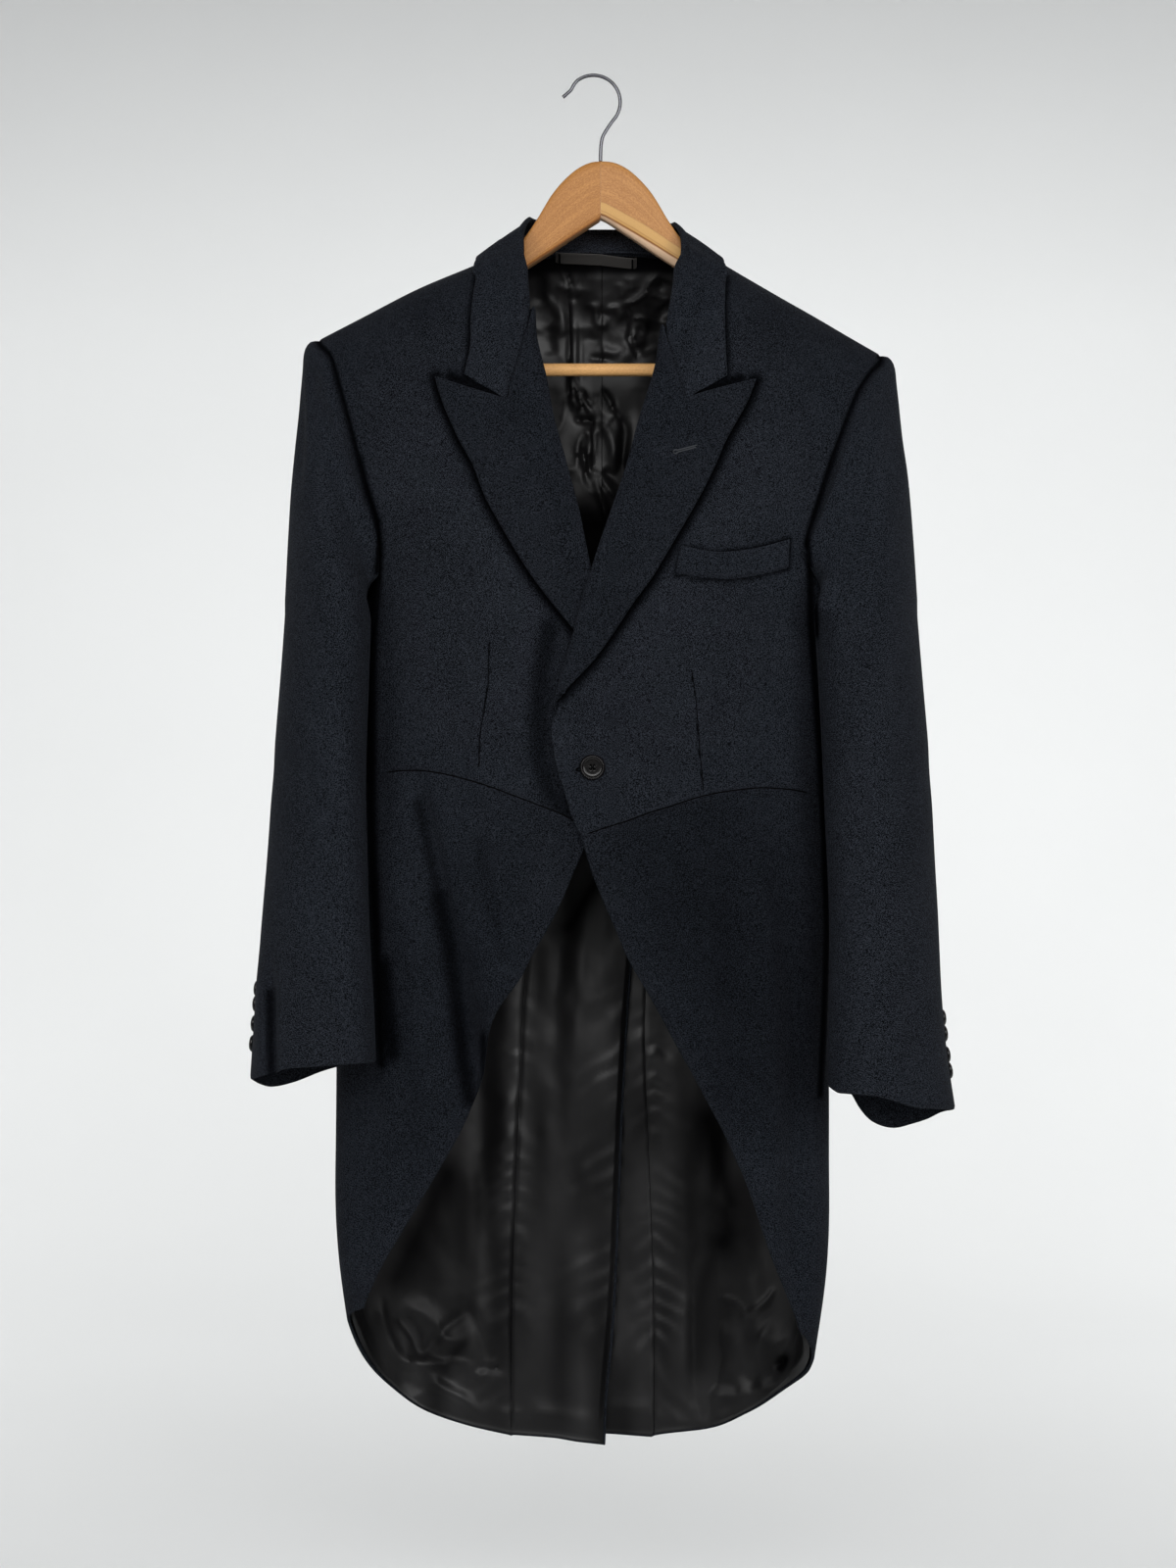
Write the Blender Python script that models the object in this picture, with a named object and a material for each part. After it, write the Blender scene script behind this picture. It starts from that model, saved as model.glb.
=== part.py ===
"""Morning coat on a wooden hanger, each cut piece a thin closed wall.

Lengths are millimetres until a mesh is made. The coat stands in its own frame: x = 0 is its centre,
+x the wearer's left, -y the front, z = 0 the inside top of the hook. A point of cloth is named by its
place on one smooth body surface: q, the girth from the front centre, and v, the height, which runs on
over the shoulder ridge and down the other side.
"""
import math

import bpy
import numpy as np

MM = 0.001
COAT_SHIFT = 7.2        # the coat's centre, right of the inside top of the hook

CLOTH = 2.0             # wall of a wool panel
SATIN = 1.0             # wall of the lining
SEAM = 0.3              # gap between two pieces that are sewn together
LAYER = 0.3             # gap between two layers that lie on each other
LINING_GAP = 1.3
OVERLAP_LIFT = 6.4      # how far the left front rides over the right front and its lapel
UNDERLAP_DROP = 6.0     # how far the vent's underlap lies inside the left back

FULLNESS = 2.8          # how square a level section of the body is
GIRTH_RADIUS = 180.0    # girth millimetres for one radian around the body
ROUND = 90.0            # height in which front and back curve over to the shoulder ridge
RIDGE_ARC = ROUND * (math.pi / 2 - 1)
SEAM_BEHIND = 12.0      # shoulder seam, behind the ridge

EYE_X, EYE_Z, EYE_DISTANCE = -11.6, -576.8, 1900.0   # outlines are drawn as seen from here


def table(names, *rows):
    """Columns by name, one row for each level or point."""
    return dict(zip(names.split(), np.array(rows, float).T))


# Level sections of the body: half width, and depth of front and back, from the hem up.
BODY = table(
    "z half_width front back",
    (-1130, 174, 46, 54),
    (-1050, 187, 50, 57),
    (-970, 198, 54, 60),
    (-900, 201, 57, 60),
    (-800, 199, 61, 59),
    (-700, 190, 64, 56),
    (-640, 184, 65, 51),
    (-580, 178, 64, 48),
    (-500, 181, 67, 54),
    (-430, 185, 70, 59),
    (-400, 194, 70, 60),
    (-372, 208, 70, 61),
    (-332, 237, 68, 60),
    (-290, 252, 66, 60),
    (-222, 262, 62, 58),
)
SHOULDER = table(
    "x z",
    (0, -128), (60, -135), (80, -143), (104, -155.5), (132, -170), (160, -184.5),
    (188, -199), (212, -211.5), (232, -222.5), (262, -240),
)

# The armhole from the shoulder seam down the front, by x and z; then under the arm and up the back
# by angle around the body and z.
ARMHOLE_FRONT = ((227, -229), (217, -240), (206, -262), (196, -288), (188, -312), (181, -335),
                 (175, -358), (171, -382))
ARMHOLE_UNDER = ((60, -410), (75, -421), (92, -427), (108, -420), (120, -402), (126, -374))
ARMHOLE_BACK = ((196, -330), (201, -305), (208, -278), (217, -251), (226, -233))
SHOULDER_TIP = 231.0
NECK_POINT = 79.5
SIDE_SEAM = ((60, -410), (62, -460), (64, -510), (67, -583))
BACK_SEAM = ((196, -330), (176, -352), (150, -385), (122, -425), (98, -470), (78, -520), (64, -560),
             (57, -592))
TAIL_SEAM = ((57, -592), (53, -660), (51, -740), (56, -900), (60, -1112))

# Outlines as drawn from the front, for the wearer's left (x > 0) and right.
ROLL_EDGE = {
    1: ((59, -154), (56, -177), (52, -198), (46, -222), (40, -245), (30, -277), (19, -317), (8, -350),
        (-4, -385), (-14, -417), (-23, -449), (-32, -481), (-41, -514)),
    -1: ((-61, -154), (-59, -177), (-56, -201), (-50, -225), (-45, -245), (-39, -277), (-28, -317),
         (-19, -351), (-12, -385), (-5, -417), (2, -449), (11, -481), (20, -514)),
}
GORGE = {
    1: ((46, -222), (55, -225.5), (60, -241), (69, -262)),
    -1: ((-53, -214), (-62, -217), (-66, -228), (-78, -263)),
}
LAPEL_TOP = {
    1: ((69, -262), (96, -254), (125, -247)),
    -1: ((-78, -263), (-108, -254), (-136, -245)),
}
LAPEL_EDGE = {
    1: ((125, -247), (118, -265), (100, -298), (90, -321), (71, -357), (52, -389), (40, -409),
        (24, -431), (8, -455), (-8, -477), (-24, -494), (-34, -505)),
    -1: ((-136, -245), (-130, -265), (-116, -297), (-105, -317), (-92, -349), (-76, -377), (-60, -403),
         (-44, -425), (-26, -447), (-12, -466), (4, -488), (14, -504)),
}
COLLAR_EDGE = {
    1: ((100, -165), (99, -193), (100, -217), (101, -244)),
    -1: ((-104, -165), (-108, -193), (-109, -225), (-112, -243)),
}
NOTCH = {
    1: ((101, -244), (85, -253), (70, -260.5)),
    -1: ((-112, -243), (-95, -253), (-79, -261.5)),
}
FRONT_EDGE = {
    1: ((-41, -516), (-42, -529), (-40, -545), (-36, -565), (-30, -585), (-24, -605), (-17, -619)),
    -1: ((20, -516), (22, -529), (19, -546), (14, -565), (6, -586), (-2, -605), (-9, -616)),
}
WAIST = {
    1: ((-17, -619), (4, -612), (20, -607), (36, -601), (52, -596), (84, -586), (116, -581),
        (136, -580), (156, -581.5), (169, -584)),
    -1: ((-9, -616), (-32, -602), (-52, -594), (-76, -585), (-92, -579), (-108, -574), (-132, -568),
         (-148, -566), (-166, -566), (-184, -568)),
}
CUTAWAY = {
    1: ((-17, -619), (-8, -649), (0, -669), (12, -697), (22, -721), (32, -738), (52, -773), (68, -803),
        (84, -833), (100, -861), (116, -897), (128, -933), (136, -957), (148, -985), (158, -1009),
        (163, -1025)),
    -1: ((-9, -616), (-24, -649), (-32, -669), (-44, -693), (-56, -713), (-68, -737), (-80, -753),
         (-89, -767), (-100, -789), (-109, -817), (-119, -853), (-132, -889), (-144, -909),
         (-156, -929), (-168, -949), (-180, -969), (-190, -990), (-196, -1005)),
}
HEM_SIDE = {1: ((78, -1036), (96, -1049)), -1: ((-82, -1020), (-100, -1038))}
HEM_BACK = {
    1: ((152, -1069), (120, -1089), (92, -1101), (43, -1109)),
    -1: ((-176, -1066), (-148, -1086), (-116, -1098), (-76, -1107)),
}
TAIL_HEM = {
    1: ((-16, -1107), (43, -1109)),
    -1: ((2, -1114), (-36, -1110), (-76, -1107)),
}
VENT_TOP = -606.0
UNDERLAP = ((0, -606), (18, -622), (35, -650), (37, -700), (37, -775), (33, -860), (30, -940),
            (25, -1040), (20, -1090))
WELT_TOP = ((64, -383), (92, -388), (116, -386), (132, -383), (153, -377))
WELT_BOTTOM = ((60, -406), (84, -409), (100, -410), (120, -408), (152, -401))

# How a lapel or collar rolls at its fold: distance from the fold and height over the panel below.
ROLL = table("away height", (3.0, -2.0), (1.3, -1.8), (0.2, -0.6), (0.2, 1.1), (1.4, 2.3), (3.8, 2.9),
             (8.0, 2.6))
TURNED_HEIGHT = LAYER + CLOTH
PANEL_STARTS = 4.3      # a front panel's edge lies this far inside the fold

# The collar from the centre back round to the front: fold, neck seam and fall edge.
COLLAR_FOLD = table(
    "x y z",
    (0, 31, -117), (24, 29.5, -117), (43, 22, -117.2), (55, 11, -118), (60, 0, -120.5),
    (62.5, -11, -127), (63.8, -22, -138), (63.5, -31.5, -149),
)
COLLAR_SEAM = ((0, -136, 1), (24, -136.4, 1), (47, -138.8, 1), (66, -140.6, 1), (77, -142.6, -1),
               (75.5, -144.2, -1), (71.5, -147.5, -1), (68, -153.5, -1))
COLLAR_FALL = ((0, -162, 1), (34, -163, 1), (66, -162, 1), (91, -156.5, 1), (104, -156.2, -1),
               (104.5, -158.5, -1), (105, -162.5, -1), (104.5, -170, -1))

# The sleeves as drawn from the front: outer and inner edge, with centre and half depth of the tube.
SLEEVE = {
    1: table("z outer inner centre depth",
             (-830, 289, 182.5, -72, 44), (-790, 283, 182.5, -71, 43), (-740, 278, 183.5, -66, 43),
             (-660, 273.5, 184.4, -58, 45), (-580, 268.6, 180.6, -50, 48), (-500, 263, 175.6, -42, 51),
             (-440, 258.5, 171.5, -34, 56)),
    -1: table("z outer inner centre depth",
              (-830, 290, 183.5, -72, 44), (-790, 287.3, 183.9, -71, 43), (-740, 283.1, 185.7, -66, 43),
              (-660, 275.2, 189.8, -58, 45), (-580, 267.9, 191.6, -50, 48),
              (-500, 261.4, 189.5, -42, 51), (-440, 257, 187, -34, 56)),
}
CUFF = {1: (-831, -816, -812, -851), -1: (-806, -792, -794, -817)}   # outer, front, inner, back
SLEEVE_TURN = 12.0       # how far a sleeve's front turns towards the body
SLEEVE_TWIST = math.radians(24)
SLEEVE_CLEARANCE = 4.0
SLEEVE_BUTTON_RADIUS, BUTTON_RADIUS = 7.2, 10.0

HANGER_THICK = 7.0       # half thickness
HANGER = table(
    "top_x top_z bottom_x bottom_z",
    (0, -69.6, 0, -116), (9, -70.6, 8, -121), (19, -75, 17, -127), (29, -83, 27, -133.5),
    (40, -95.5, 38, -141), (53.8, -118, 58.8, -154.5), (62, -130, 68, -160), (72, -141.5, 79, -166),
    (84, -150.5, 92, -173), (104, -160.5, 112, -184), (132, -175, 138, -198), (160, -189.3, 164, -212),
    (183, -201.5, 185.2, -224), (187, -203.6, 185.8, -252), (199, -211, 198, -255),
)
MITRE = -1.3
BAR_HEIGHT, BAR_RADIUS, BAR_REACH = -238.8, 5.2, 184.9
WIRE_RADIUS = 1.7
HOOK_RADIUS = 21.9
HOOK_CENTRE = (-COAT_SHIFT, -20.2)

COLOURS = {
    "wool": ((0.012, 0.013, 0.018), 0.85, 0.0),
    "satin": ((0.014, 0.013, 0.014), 0.35, 0.0),
    "tape": ((0.09, 0.08, 0.075), 0.7, 0.0),
    "horn": ((0.01, 0.01, 0.01), 0.25, 0.0),
    "wood": ((0.60, 0.34, 0.15), 0.45, 0.0),
    "steel": ((0.62, 0.62, 0.62), 0.3, 1.0),
}


def smooth(x, xs, ys):
    """A cubic through the points, level at each turning point so that it never overshoots."""
    step = np.diff(xs)
    rise = np.diff(ys) / step
    same_way = rise[:-1] * rise[1:] > 0
    slope = np.concatenate((rise[:1], np.where(same_way, (rise[:-1] + rise[1:]) / 2, 0), rise[-1:]))
    x = np.clip(x, xs[0], xs[-1])
    i = np.clip(np.searchsorted(xs, x, side="right") - 1, 0, len(xs) - 2)
    t = (x - xs[i]) / step[i]
    start, gain = ys[i], ys[i + 1] - ys[i]
    m0, m1 = slope[i] * step[i], slope[i + 1] * step[i]
    return start + t * (m0 + t * (3 * gain - 2 * m0 - m1 + t * (m0 + m1 - 2 * gain)))


def ease(t):
    """0 up to 0, 1 from 1 on, and a soft step between."""
    t = np.clip(t, 0, 1)
    return t * t * (3 - 2 * t)


def unit(vectors):
    return vectors / np.linalg.norm(vectors, axis=-1, keepdims=True)


def level(name, v):
    return smooth(v, BODY["z"], BODY[name])


def ridge(x):
    return smooth(np.abs(x), SHOULDER["x"], SHOULDER["z"])


def body(place):
    """The body surface at (q, v): a superellipse at each level, rounded over to the shoulder ridge."""
    q, v = place[..., 0], place[..., 1]
    s, c = np.sin(q / GIRTH_RADIUS), np.cos(q / GIRTH_RADIUS)
    size = (np.abs(s) ** FULLNESS + np.abs(c) ** FULLNESS) ** (1 / FULLNESS)
    x = level("half_width", v) * s / size
    turn = np.clip((v - ridge(x)) / ROUND + 1, 0, None)
    z = np.where(turn > 0, ridge(x) - ROUND + ROUND * np.sin(turn), v)
    way = -c / size * np.cos(turn)
    y = way * np.where(way < 0, level("front", v), level("back", v))
    return np.stack([x, y, z], -1)


def facing(place):
    """Outward unit normals of the body surface."""
    step = 0.5
    along = body(place + (step, 0)) - body(place - (step, 0))
    up = body(place + (0, step)) - body(place - (0, step))
    return unit(np.cross(along, up))


def girth(x, v, face):
    """q of a point with that x, on the front (-1) or the back (1)."""
    share = np.clip(np.abs(x) / level("half_width", v), 0, 0.9995)
    angle = np.arctan2(share, (1 - share ** FULLNESS) ** (1 / FULLNESS))
    angle = np.where(np.asarray(face) > 0, math.pi - angle, angle)
    return np.copysign(angle, x) * GIRTH_RADIUS


def at(x, z, face):
    """(q, v) of the point of the front or the back with that x and z."""
    x, z = np.asarray(x, float), np.asarray(z, float)
    up = np.clip((z - ridge(x)) / ROUND + 1, 0, 1)
    v = np.where(up > 0, ridge(x) - ROUND + ROUND * np.arcsin(up), z)
    return np.stack([girth(x, v, face), v], -1)


def sway(x, z):
    """How the coat hangs: its lower half leans to one side, and the left shoulder sits lower."""
    lean = -16 * ease((-z - 450) / 250)
    tilt = -0.033 * x * ease((np.abs(x) - 60) / 100)
    return lean, tilt


def hang(points):
    lean, tilt = sway(points[..., 0], points[..., 2])
    return points + np.stack([lean, np.zeros_like(lean), tilt], -1)


def drawn(points, face=-1):
    """(q, v) of points drawn from the front, moved back from the drawing to the surface itself."""
    u, w = np.array(points, float).T
    y = np.full(len(u), 55.0 * face)
    for _ in range(8):
        nearer = (EYE_DISTANCE + y) / EYE_DISTANCE
        x, z = EYE_X + (u - EYE_X) * nearer, EYE_Z + (w - EYE_Z) * nearer
        x0, z0 = x, z
        for _ in range(4):
            lean, tilt = sway(x0, z0)
            x0, z0 = x - lean, z - tilt
        place = at(x0, z0, face)
        y = body(place)[..., 1]
    return place


def past_centre(places, side):
    """The same places counted round from the piece's own side, where it runs past the centre back."""
    turn = 2 * math.pi * GIRTH_RADIUS * side
    return places + np.where(places[:, :1] * side < 0, (turn, 0), (0, 0))


def around(points, side):
    """(q, v) of points given by their angle around the body and their height."""
    angle, z = np.array(points, float).T
    return np.stack([side * np.radians(angle) * GIRTH_RADIUS, z], -1)


def across(points, side, face):
    """(q, v) of points given by x and z on the front or the back."""
    x, z = np.array(points, float).T
    return at(side * x, z, face)


def on_shoulder(x, behind, side, face):
    """(q, v) of a point of the shoulder, so far behind its ridge along the cloth."""
    v = ridge(x) + RIDGE_ARC - face * behind
    return np.stack([girth(side * x, v, face), v], -1)


def line(points, count):
    """A smooth curve through the points, cut into evenly spaced ones."""
    points = np.asarray(points, float)
    run = np.concatenate(([0], np.cumsum(np.linalg.norm(np.diff(points, axis=0), axis=1))))
    fine = np.linspace(0, run[-1], 400)
    dense = np.stack([smooth(fine, run, column) for column in points.T], -1)
    run = np.concatenate(([0], np.cumsum(np.linalg.norm(np.diff(dense, axis=0), axis=1))))
    even = np.linspace(0, run[-1], count)
    return np.stack([np.interp(even, run, column) for column in dense.T], -1)


def join(*lines):
    """Lines end to end, each starting where the last one ends."""
    return np.concatenate([lines[0]] + [part[1:] for part in lines[1:]])


def patch(bottom, top, left, right):
    """Grid of places between four edges (a Coons patch): rows run from bottom to top."""
    u = np.linspace(0, 1, len(bottom))[None, :, None]
    w = np.linspace(0, 1, len(left))[:, None, None]
    ruled = (1 - w) * bottom + w * top + (1 - u) * left[:, None] + u * right[:, None]
    corners = ((1 - w) * (1 - u) * bottom[0] + (1 - w) * u * bottom[-1]
               + w * (1 - u) * top[0] + w * u * top[-1])
    return ruled - corners


def trimmed(points, normals, gaps):
    """Pulls the four edges of a grid inwards by a gap each: bottom, top, left, right."""
    points = points.copy()
    for gap, axis, edge, inner in zip(gaps, (0, 0, 1, 1), (0, -1, 0, -1), (1, -2, 1, -2)):
        rows = np.moveaxis(points, axis, 0)
        inward = rows[inner] - rows[edge]
        along = unit(np.gradient(rows[edge], axis=0))
        normal = np.moveaxis(normals, axis, 0)[edge]
        square = unit(np.cross(normal, along))
        square *= np.sign((square * inward).sum(-1, keepdims=True))
        rows[edge] += square * gap
    return points


def grid_normals(points):
    return unit(np.cross(np.gradient(points, axis=1), np.gradient(points, axis=0)))


def make_material(name):
    colour, roughness, metallic = COLOURS[name]
    material = bpy.data.materials.new(name)
    material.use_nodes = True
    shader = material.node_tree.nodes["Principled BSDF"]
    shader.inputs["Base Color"].default_value = (*colour, 1)
    shader.inputs["Roughness"].default_value = roughness
    shader.inputs["Metallic"].default_value = metallic
    return material


def volume(points, faces):
    """Signed volume of a closed mesh, positive where its faces point outwards."""
    corners = [(face[0], face[i], face[i + 1]) for face in faces for i in range(1, len(face) - 1)]
    a, b, c = points[np.array(corners)].transpose(1, 0, 2)
    return (a * np.cross(b, c)).sum() / 6


def make_object(name, points, faces, material, sharp=40):
    """One named object with its own material, in metres."""
    mesh = bpy.data.meshes.new(name)
    moved = (np.asarray(points).reshape(-1, 3) + (COAT_SHIFT, 0, 0)) * MM
    if volume(moved, faces) < 0:
        faces = [face[::-1] for face in faces]
    mesh.from_pydata(moved.tolist(), [], faces)
    mesh.materials.append(make_material(material))
    mesh.shade_smooth()
    mesh.set_sharp_from_angle(angle=math.radians(sharp))
    mesh.update()
    bpy.context.scene.collection.objects.link(bpy.data.objects.new(name, mesh))


def make_wall(name, outer, inner, material="wool"):
    """A closed wall between two grids of the same size; each cell is cut along its shorter diagonal."""
    rows, columns = outer.shape[:2]
    number = np.arange(rows * columns).reshape(rows, columns)
    a, b, c, d = number[:-1, :-1], number[:-1, 1:], number[1:, 1:], number[1:, :-1]
    rising = np.linalg.norm(outer[1:, 1:] - outer[:-1, :-1], axis=-1)
    falling = np.linalg.norm(outer[1:, :-1] - outer[:-1, 1:], axis=-1)
    by_rising = np.stack([a, b, c, a, c, d], -1)
    by_falling = np.stack([a, b, d, b, c, d], -1)
    front = np.where((rising < falling)[..., None], by_rising, by_falling).reshape(-1, 3)
    back = front[:, ::-1] + rows * columns
    rim = np.concatenate([number[0], number[1:, -1], number[-1, -2::-1], number[-2:0:-1, 0]])
    after = np.roll(rim, -1)
    edge = np.stack([after, rim, rim + rows * columns, after + rows * columns], -1)
    faces = front.tolist() + back.tolist() + edge.tolist()
    make_object(name, np.concatenate([outer.reshape(-1, 3), inner.reshape(-1, 3)]), faces, material)


def make_panel(name, places, side, rise=0.0, thickness=CLOTH, gaps=(SEAM / 2,) * 4, material="wool"):
    """A panel cut from the body surface, raised by rise and with its thickness inside it."""
    normals = facing(places)
    points = body(places)
    rise = np.broadcast_to(np.asarray(rise, float), points.shape[:2])[..., None]
    outer = hang(trimmed(points + normals * rise, normals, gaps))
    inner = hang(trimmed(points + normals * (rise - thickness), normals, gaps))
    make_wall(name, outer, inner, material)


def make_sheet(name, outer, thickness, side, material="wool"):
    """A wall of free shape: the grid that shows, thickened behind it."""
    if side < 0:
        outer = outer[:, ::-1]
    make_wall(name, outer, outer - grid_normals(outer) * thickness, material)


def make_loft(name, sections, material):
    """A closed body through closed sections of equal count, capped at both ends."""
    rows, columns = sections.shape[:2]
    number = np.arange(rows * columns).reshape(rows, columns)
    after = np.roll(number, -1, axis=1)
    sides = np.stack([number[:-1], after[:-1], after[1:], number[1:]], -1).reshape(-1, 4).tolist()
    faces = sides + [number[0, ::-1].tolist(), number[-1].tolist()]
    make_object(name, sections, faces, material)


def armhole(side):
    """The armhole's three stretches, from the shoulder seam down the front and up the back."""
    tip_front = on_shoulder(np.array([SHOULDER_TIP]), SEAM_BEHIND, side, -1)
    tip_back = on_shoulder(np.array([SHOULDER_TIP]), SEAM_BEHIND, side, 1)
    over = on_shoulder(np.array([SHOULDER_TIP + 0.5]), 0, side, -1)
    under = around(ARMHOLE_UNDER, side)
    corner = across(ARMHOLE_BACK[:1], side, 1)
    front = np.concatenate([tip_front, over, across(ARMHOLE_FRONT, side, -1), under[:1]])
    below = np.concatenate([under, corner])
    back = np.concatenate([across(ARMHOLE_BACK, side, 1), tip_back])
    return line(front, 12), line(below, 7), line(back, 7)


def overlap_lift(places):
    """Lift of the left front where it rides over the right one."""
    q, v = places[..., 0], places[..., 1]
    return OVERLAP_LIFT * ease((130 - q) / 80) * ease((-330 - v) / 65) * ease((v + 770) / 140)


def underlap_drop(places):
    """How far the right back lies inside, where it runs on under the left one."""
    x = body(places)[..., 0]
    return -UNDERLAP_DROP * ease((x + 26) / 25) * ease((-places[..., 1] - 556) / 30)


def beside(edge, distance, side):
    """A line of places moved sideways, away from the front opening."""
    along = unit(np.gradient(edge, axis=0))
    away = np.stack([-along[:, 1], along[:, 0]], -1)
    return edge + away * np.sign(away[:, :1]) * side * distance


def seams(side):
    """The edges that two panels share, as lines of places with the same points for both."""
    arm_front, arm_below, arm_back = armhole(side)
    side_seam = line(around(SIDE_SEAM[::-1], side), 9)
    side_seam[-1] = arm_front[-1]
    back_seam = line(across(BACK_SEAM, side, 1), 9)
    back_seam[0] = arm_below[-1]
    waist = drawn(WAIST[side])
    waist[-1] = side_seam[0]
    return {
        "arm_front": arm_front, "arm_below": arm_below, "arm_back": arm_back,
        "side_seam": side_seam, "back_seam": back_seam,
        "waist_front": line(waist, 11),
        "waist_side": line(np.stack([side_seam[0], around(((100, -584),), side)[0],
                                     around(((130, -589),), side)[0], back_seam[-1]]), 7),
        "tail_seam": line(across(TAIL_SEAM, side, 1), 11),
    }


def make_forepart(name, side, cut):
    """Front panel: front edge, roll line and neck on one side, side seam and armhole on the other."""
    lift = overlap_lift if side > 0 else (lambda places: 0.0)
    front = np.concatenate([drawn(FRONT_EDGE[side])[::-1], drawn(ROLL_EDGE[side])[:0:-1]])
    front[0] = cut["waist_front"][0]
    starts = PANEL_STARTS * ease((front[:, 1] + 534) / 14)[:, None]
    front = beside(front, starts, side)
    neck = np.concatenate([
        across(((65.5, -166), (69.5, -154), (74, -147.5)), side, -1),
        on_shoulder(np.array([NECK_POINT]), SEAM_BEHIND, side, -1),
    ])
    right = join(cut["side_seam"], cut["arm_front"][::-1])
    left = line(np.concatenate([front, neck]), len(right))
    columns = len(cut["waist_front"])
    xs = np.linspace(NECK_POINT, SHOULDER_TIP, columns)
    top = on_shoulder(xs, SEAM_BEHIND, side, -1)
    places = patch(cut["waist_front"], top, left, right)
    make_panel(name, places, side, lift(places))


def make_side_body(name, side, cut):
    """Panel under the arm, from the side seam round to the curved back seam."""
    make_panel(name, patch(cut["waist_side"], cut["arm_below"], cut["side_seam"],
                           cut["back_seam"][::-1]), side)


def back_places(side, cut):
    """Back panel in one length: centre back, neck and shoulder, armhole and seams, hem."""
    hem = line(past_centre(drawn(TAIL_HEM[side], 1), side), 7)
    tail = cut["tail_seam"][::-1]
    hem[-1] = tail[0]
    right = join(tail, cut["back_seam"][::-1], cut["arm_back"])
    centre_side = side if side > 0 else -1
    if side > 0:
        low = np.concatenate([hem[:1], across(((0.01, -1000), (0.01, VENT_TOP)), 1, 1)])
    else:
        low = np.concatenate([hem[:1], past_centre(across(UNDERLAP[::-1], 1, 1), side)])
    high = across(((0.01, VENT_TOP + 22), (0.01, -400), (0.01, -136)), centre_side, 1)
    rows_low = 1 + round((len(right) - 1) * 0.5)
    left = join(line(np.concatenate([low, high[:1]]), rows_low), line(high, len(right) - rows_low + 1))
    neck = np.concatenate([
        across(((0.01, -136), (24, -136.4), (47, -138.8), (66, -140.6)), side, 1),
        on_shoulder(np.array([NECK_POINT]), SEAM_BEHIND, side, 1),
    ])
    over = on_shoulder(np.linspace(NECK_POINT, SHOULDER_TIP, 5), SEAM_BEHIND, side, 1)
    top = join(line(neck, 3), over)
    return patch(hem, top, left, right)


def make_back(side_name, side, cut):
    places = back_places(side, cut)
    drop = underlap_drop(places) if side < 0 else 0.0
    make_panel("back_" + side_name, places, side, drop)
    make_panel("lining_back_" + side_name, places, side, drop - CLOTH - LINING_GAP, SATIN,
               (5.0, 3.0, 2.0, 0.6), "satin")


def make_skirt(side_name, side, cut):
    """Skirt from the waist seam down, round the side, with the cutaway edge curving into the hem."""
    top = join(cut["waist_front"], cut["waist_side"])
    right = cut["tail_seam"][::-1]
    left = drawn(CUTAWAY[side])[::-1]
    left[-1] = top[0]
    left = line(left, len(right))
    hem = np.concatenate([left[:1], around(HEM_SIDE[side], 1), drawn(HEM_BACK[side], 1)])
    hem[-1] = right[0]
    places = patch(line(hem, len(top)), top, left, right)
    lift = overlap_lift(places) if side > 0 else 0.0
    make_panel("skirt_" + side_name, places, side, lift)
    inside = join(places[::2], places[-1:])[:, ::2] if len(places) % 2 == 0 else places[::2, ::2]
    lift = overlap_lift(inside) if side > 0 else 0.0
    make_panel("lining_skirt_" + side_name, inside, side, lift - CLOTH - LINING_GAP, SATIN,
               (5.0, 3.0, 5.0, 0.4), "satin")


def rolled(fold, side):
    """The columns of a rolled fold: places beside it, and their heights over the panel."""
    columns = [beside(fold, away, side) for away in ROLL["away"]]
    return np.stack(columns, 1), ROLL["height"]


def raised(places, height, side):
    """Points over the body surface, on the left side over its lift."""
    lift = overlap_lift(places) if side > 0 else 0.0
    return body(places) + facing(places) * (height + np.asarray(lift))[..., None]


def make_lapel(name, side):
    """Turned lapel: it rolls round the front edge and lies on the forepart."""
    rows = 15
    fold = drawn(ROLL_EDGE[side])
    start = drawn(GORGE[side])[:1]
    below = fold[fold[:, 1] < start[0, 1] - 4]
    fold = line(np.concatenate([start, below]), rows)[::-1]
    curl, heights = rolled(fold, side)
    gorge = drawn(GORGE[side])
    upper = drawn(LAPEL_TOP[side])
    top = join(line(gorge, 4), line(upper, 5))
    edge = drawn(LAPEL_EDGE[side])
    edge[0] = top[-1]
    right = line(edge, rows)[::-1]
    left = curl[:, -1]
    top = join(line(np.stack([left[-1], top[1]]), 2), top[1:])
    bottom = np.linspace(left[0], right[0], len(top))
    flat = patch(bottom, top, left, right)
    heights = np.concatenate([heights, np.full(len(top) - 1, TURNED_HEIGHT)])
    places = np.concatenate([curl, flat[:, 1:]], 1)
    outer = hang(raised(places, np.broadcast_to(heights, places.shape[:2]), side))
    make_sheet(name, outer, CLOTH - 0.3, side)


def clear_of_body(points, gap):
    """Moves points out of the body surface, straight away from the middle of its rounding."""
    x, y, z = points[..., 0], points[..., 1], points[..., 2]
    low = ridge(x) - ROUND
    depth = np.where(y < 0, level("front", z), level("back", z))
    share = np.clip(np.abs(x) / level("half_width", z), 0, 0.99)
    depth = depth * (1 - share ** FULLNESS) ** (1 / FULLNESS)
    rise = np.clip(z - low, 0, None)
    reach = np.hypot(y, rise)
    surface = reach / np.hypot(y / depth, rise / ROUND)
    scale = np.maximum(1, (surface + gap) / np.maximum(reach, 1e-6))
    return np.stack([x, y * scale, z + rise * (scale - 1)], -1)


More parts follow.
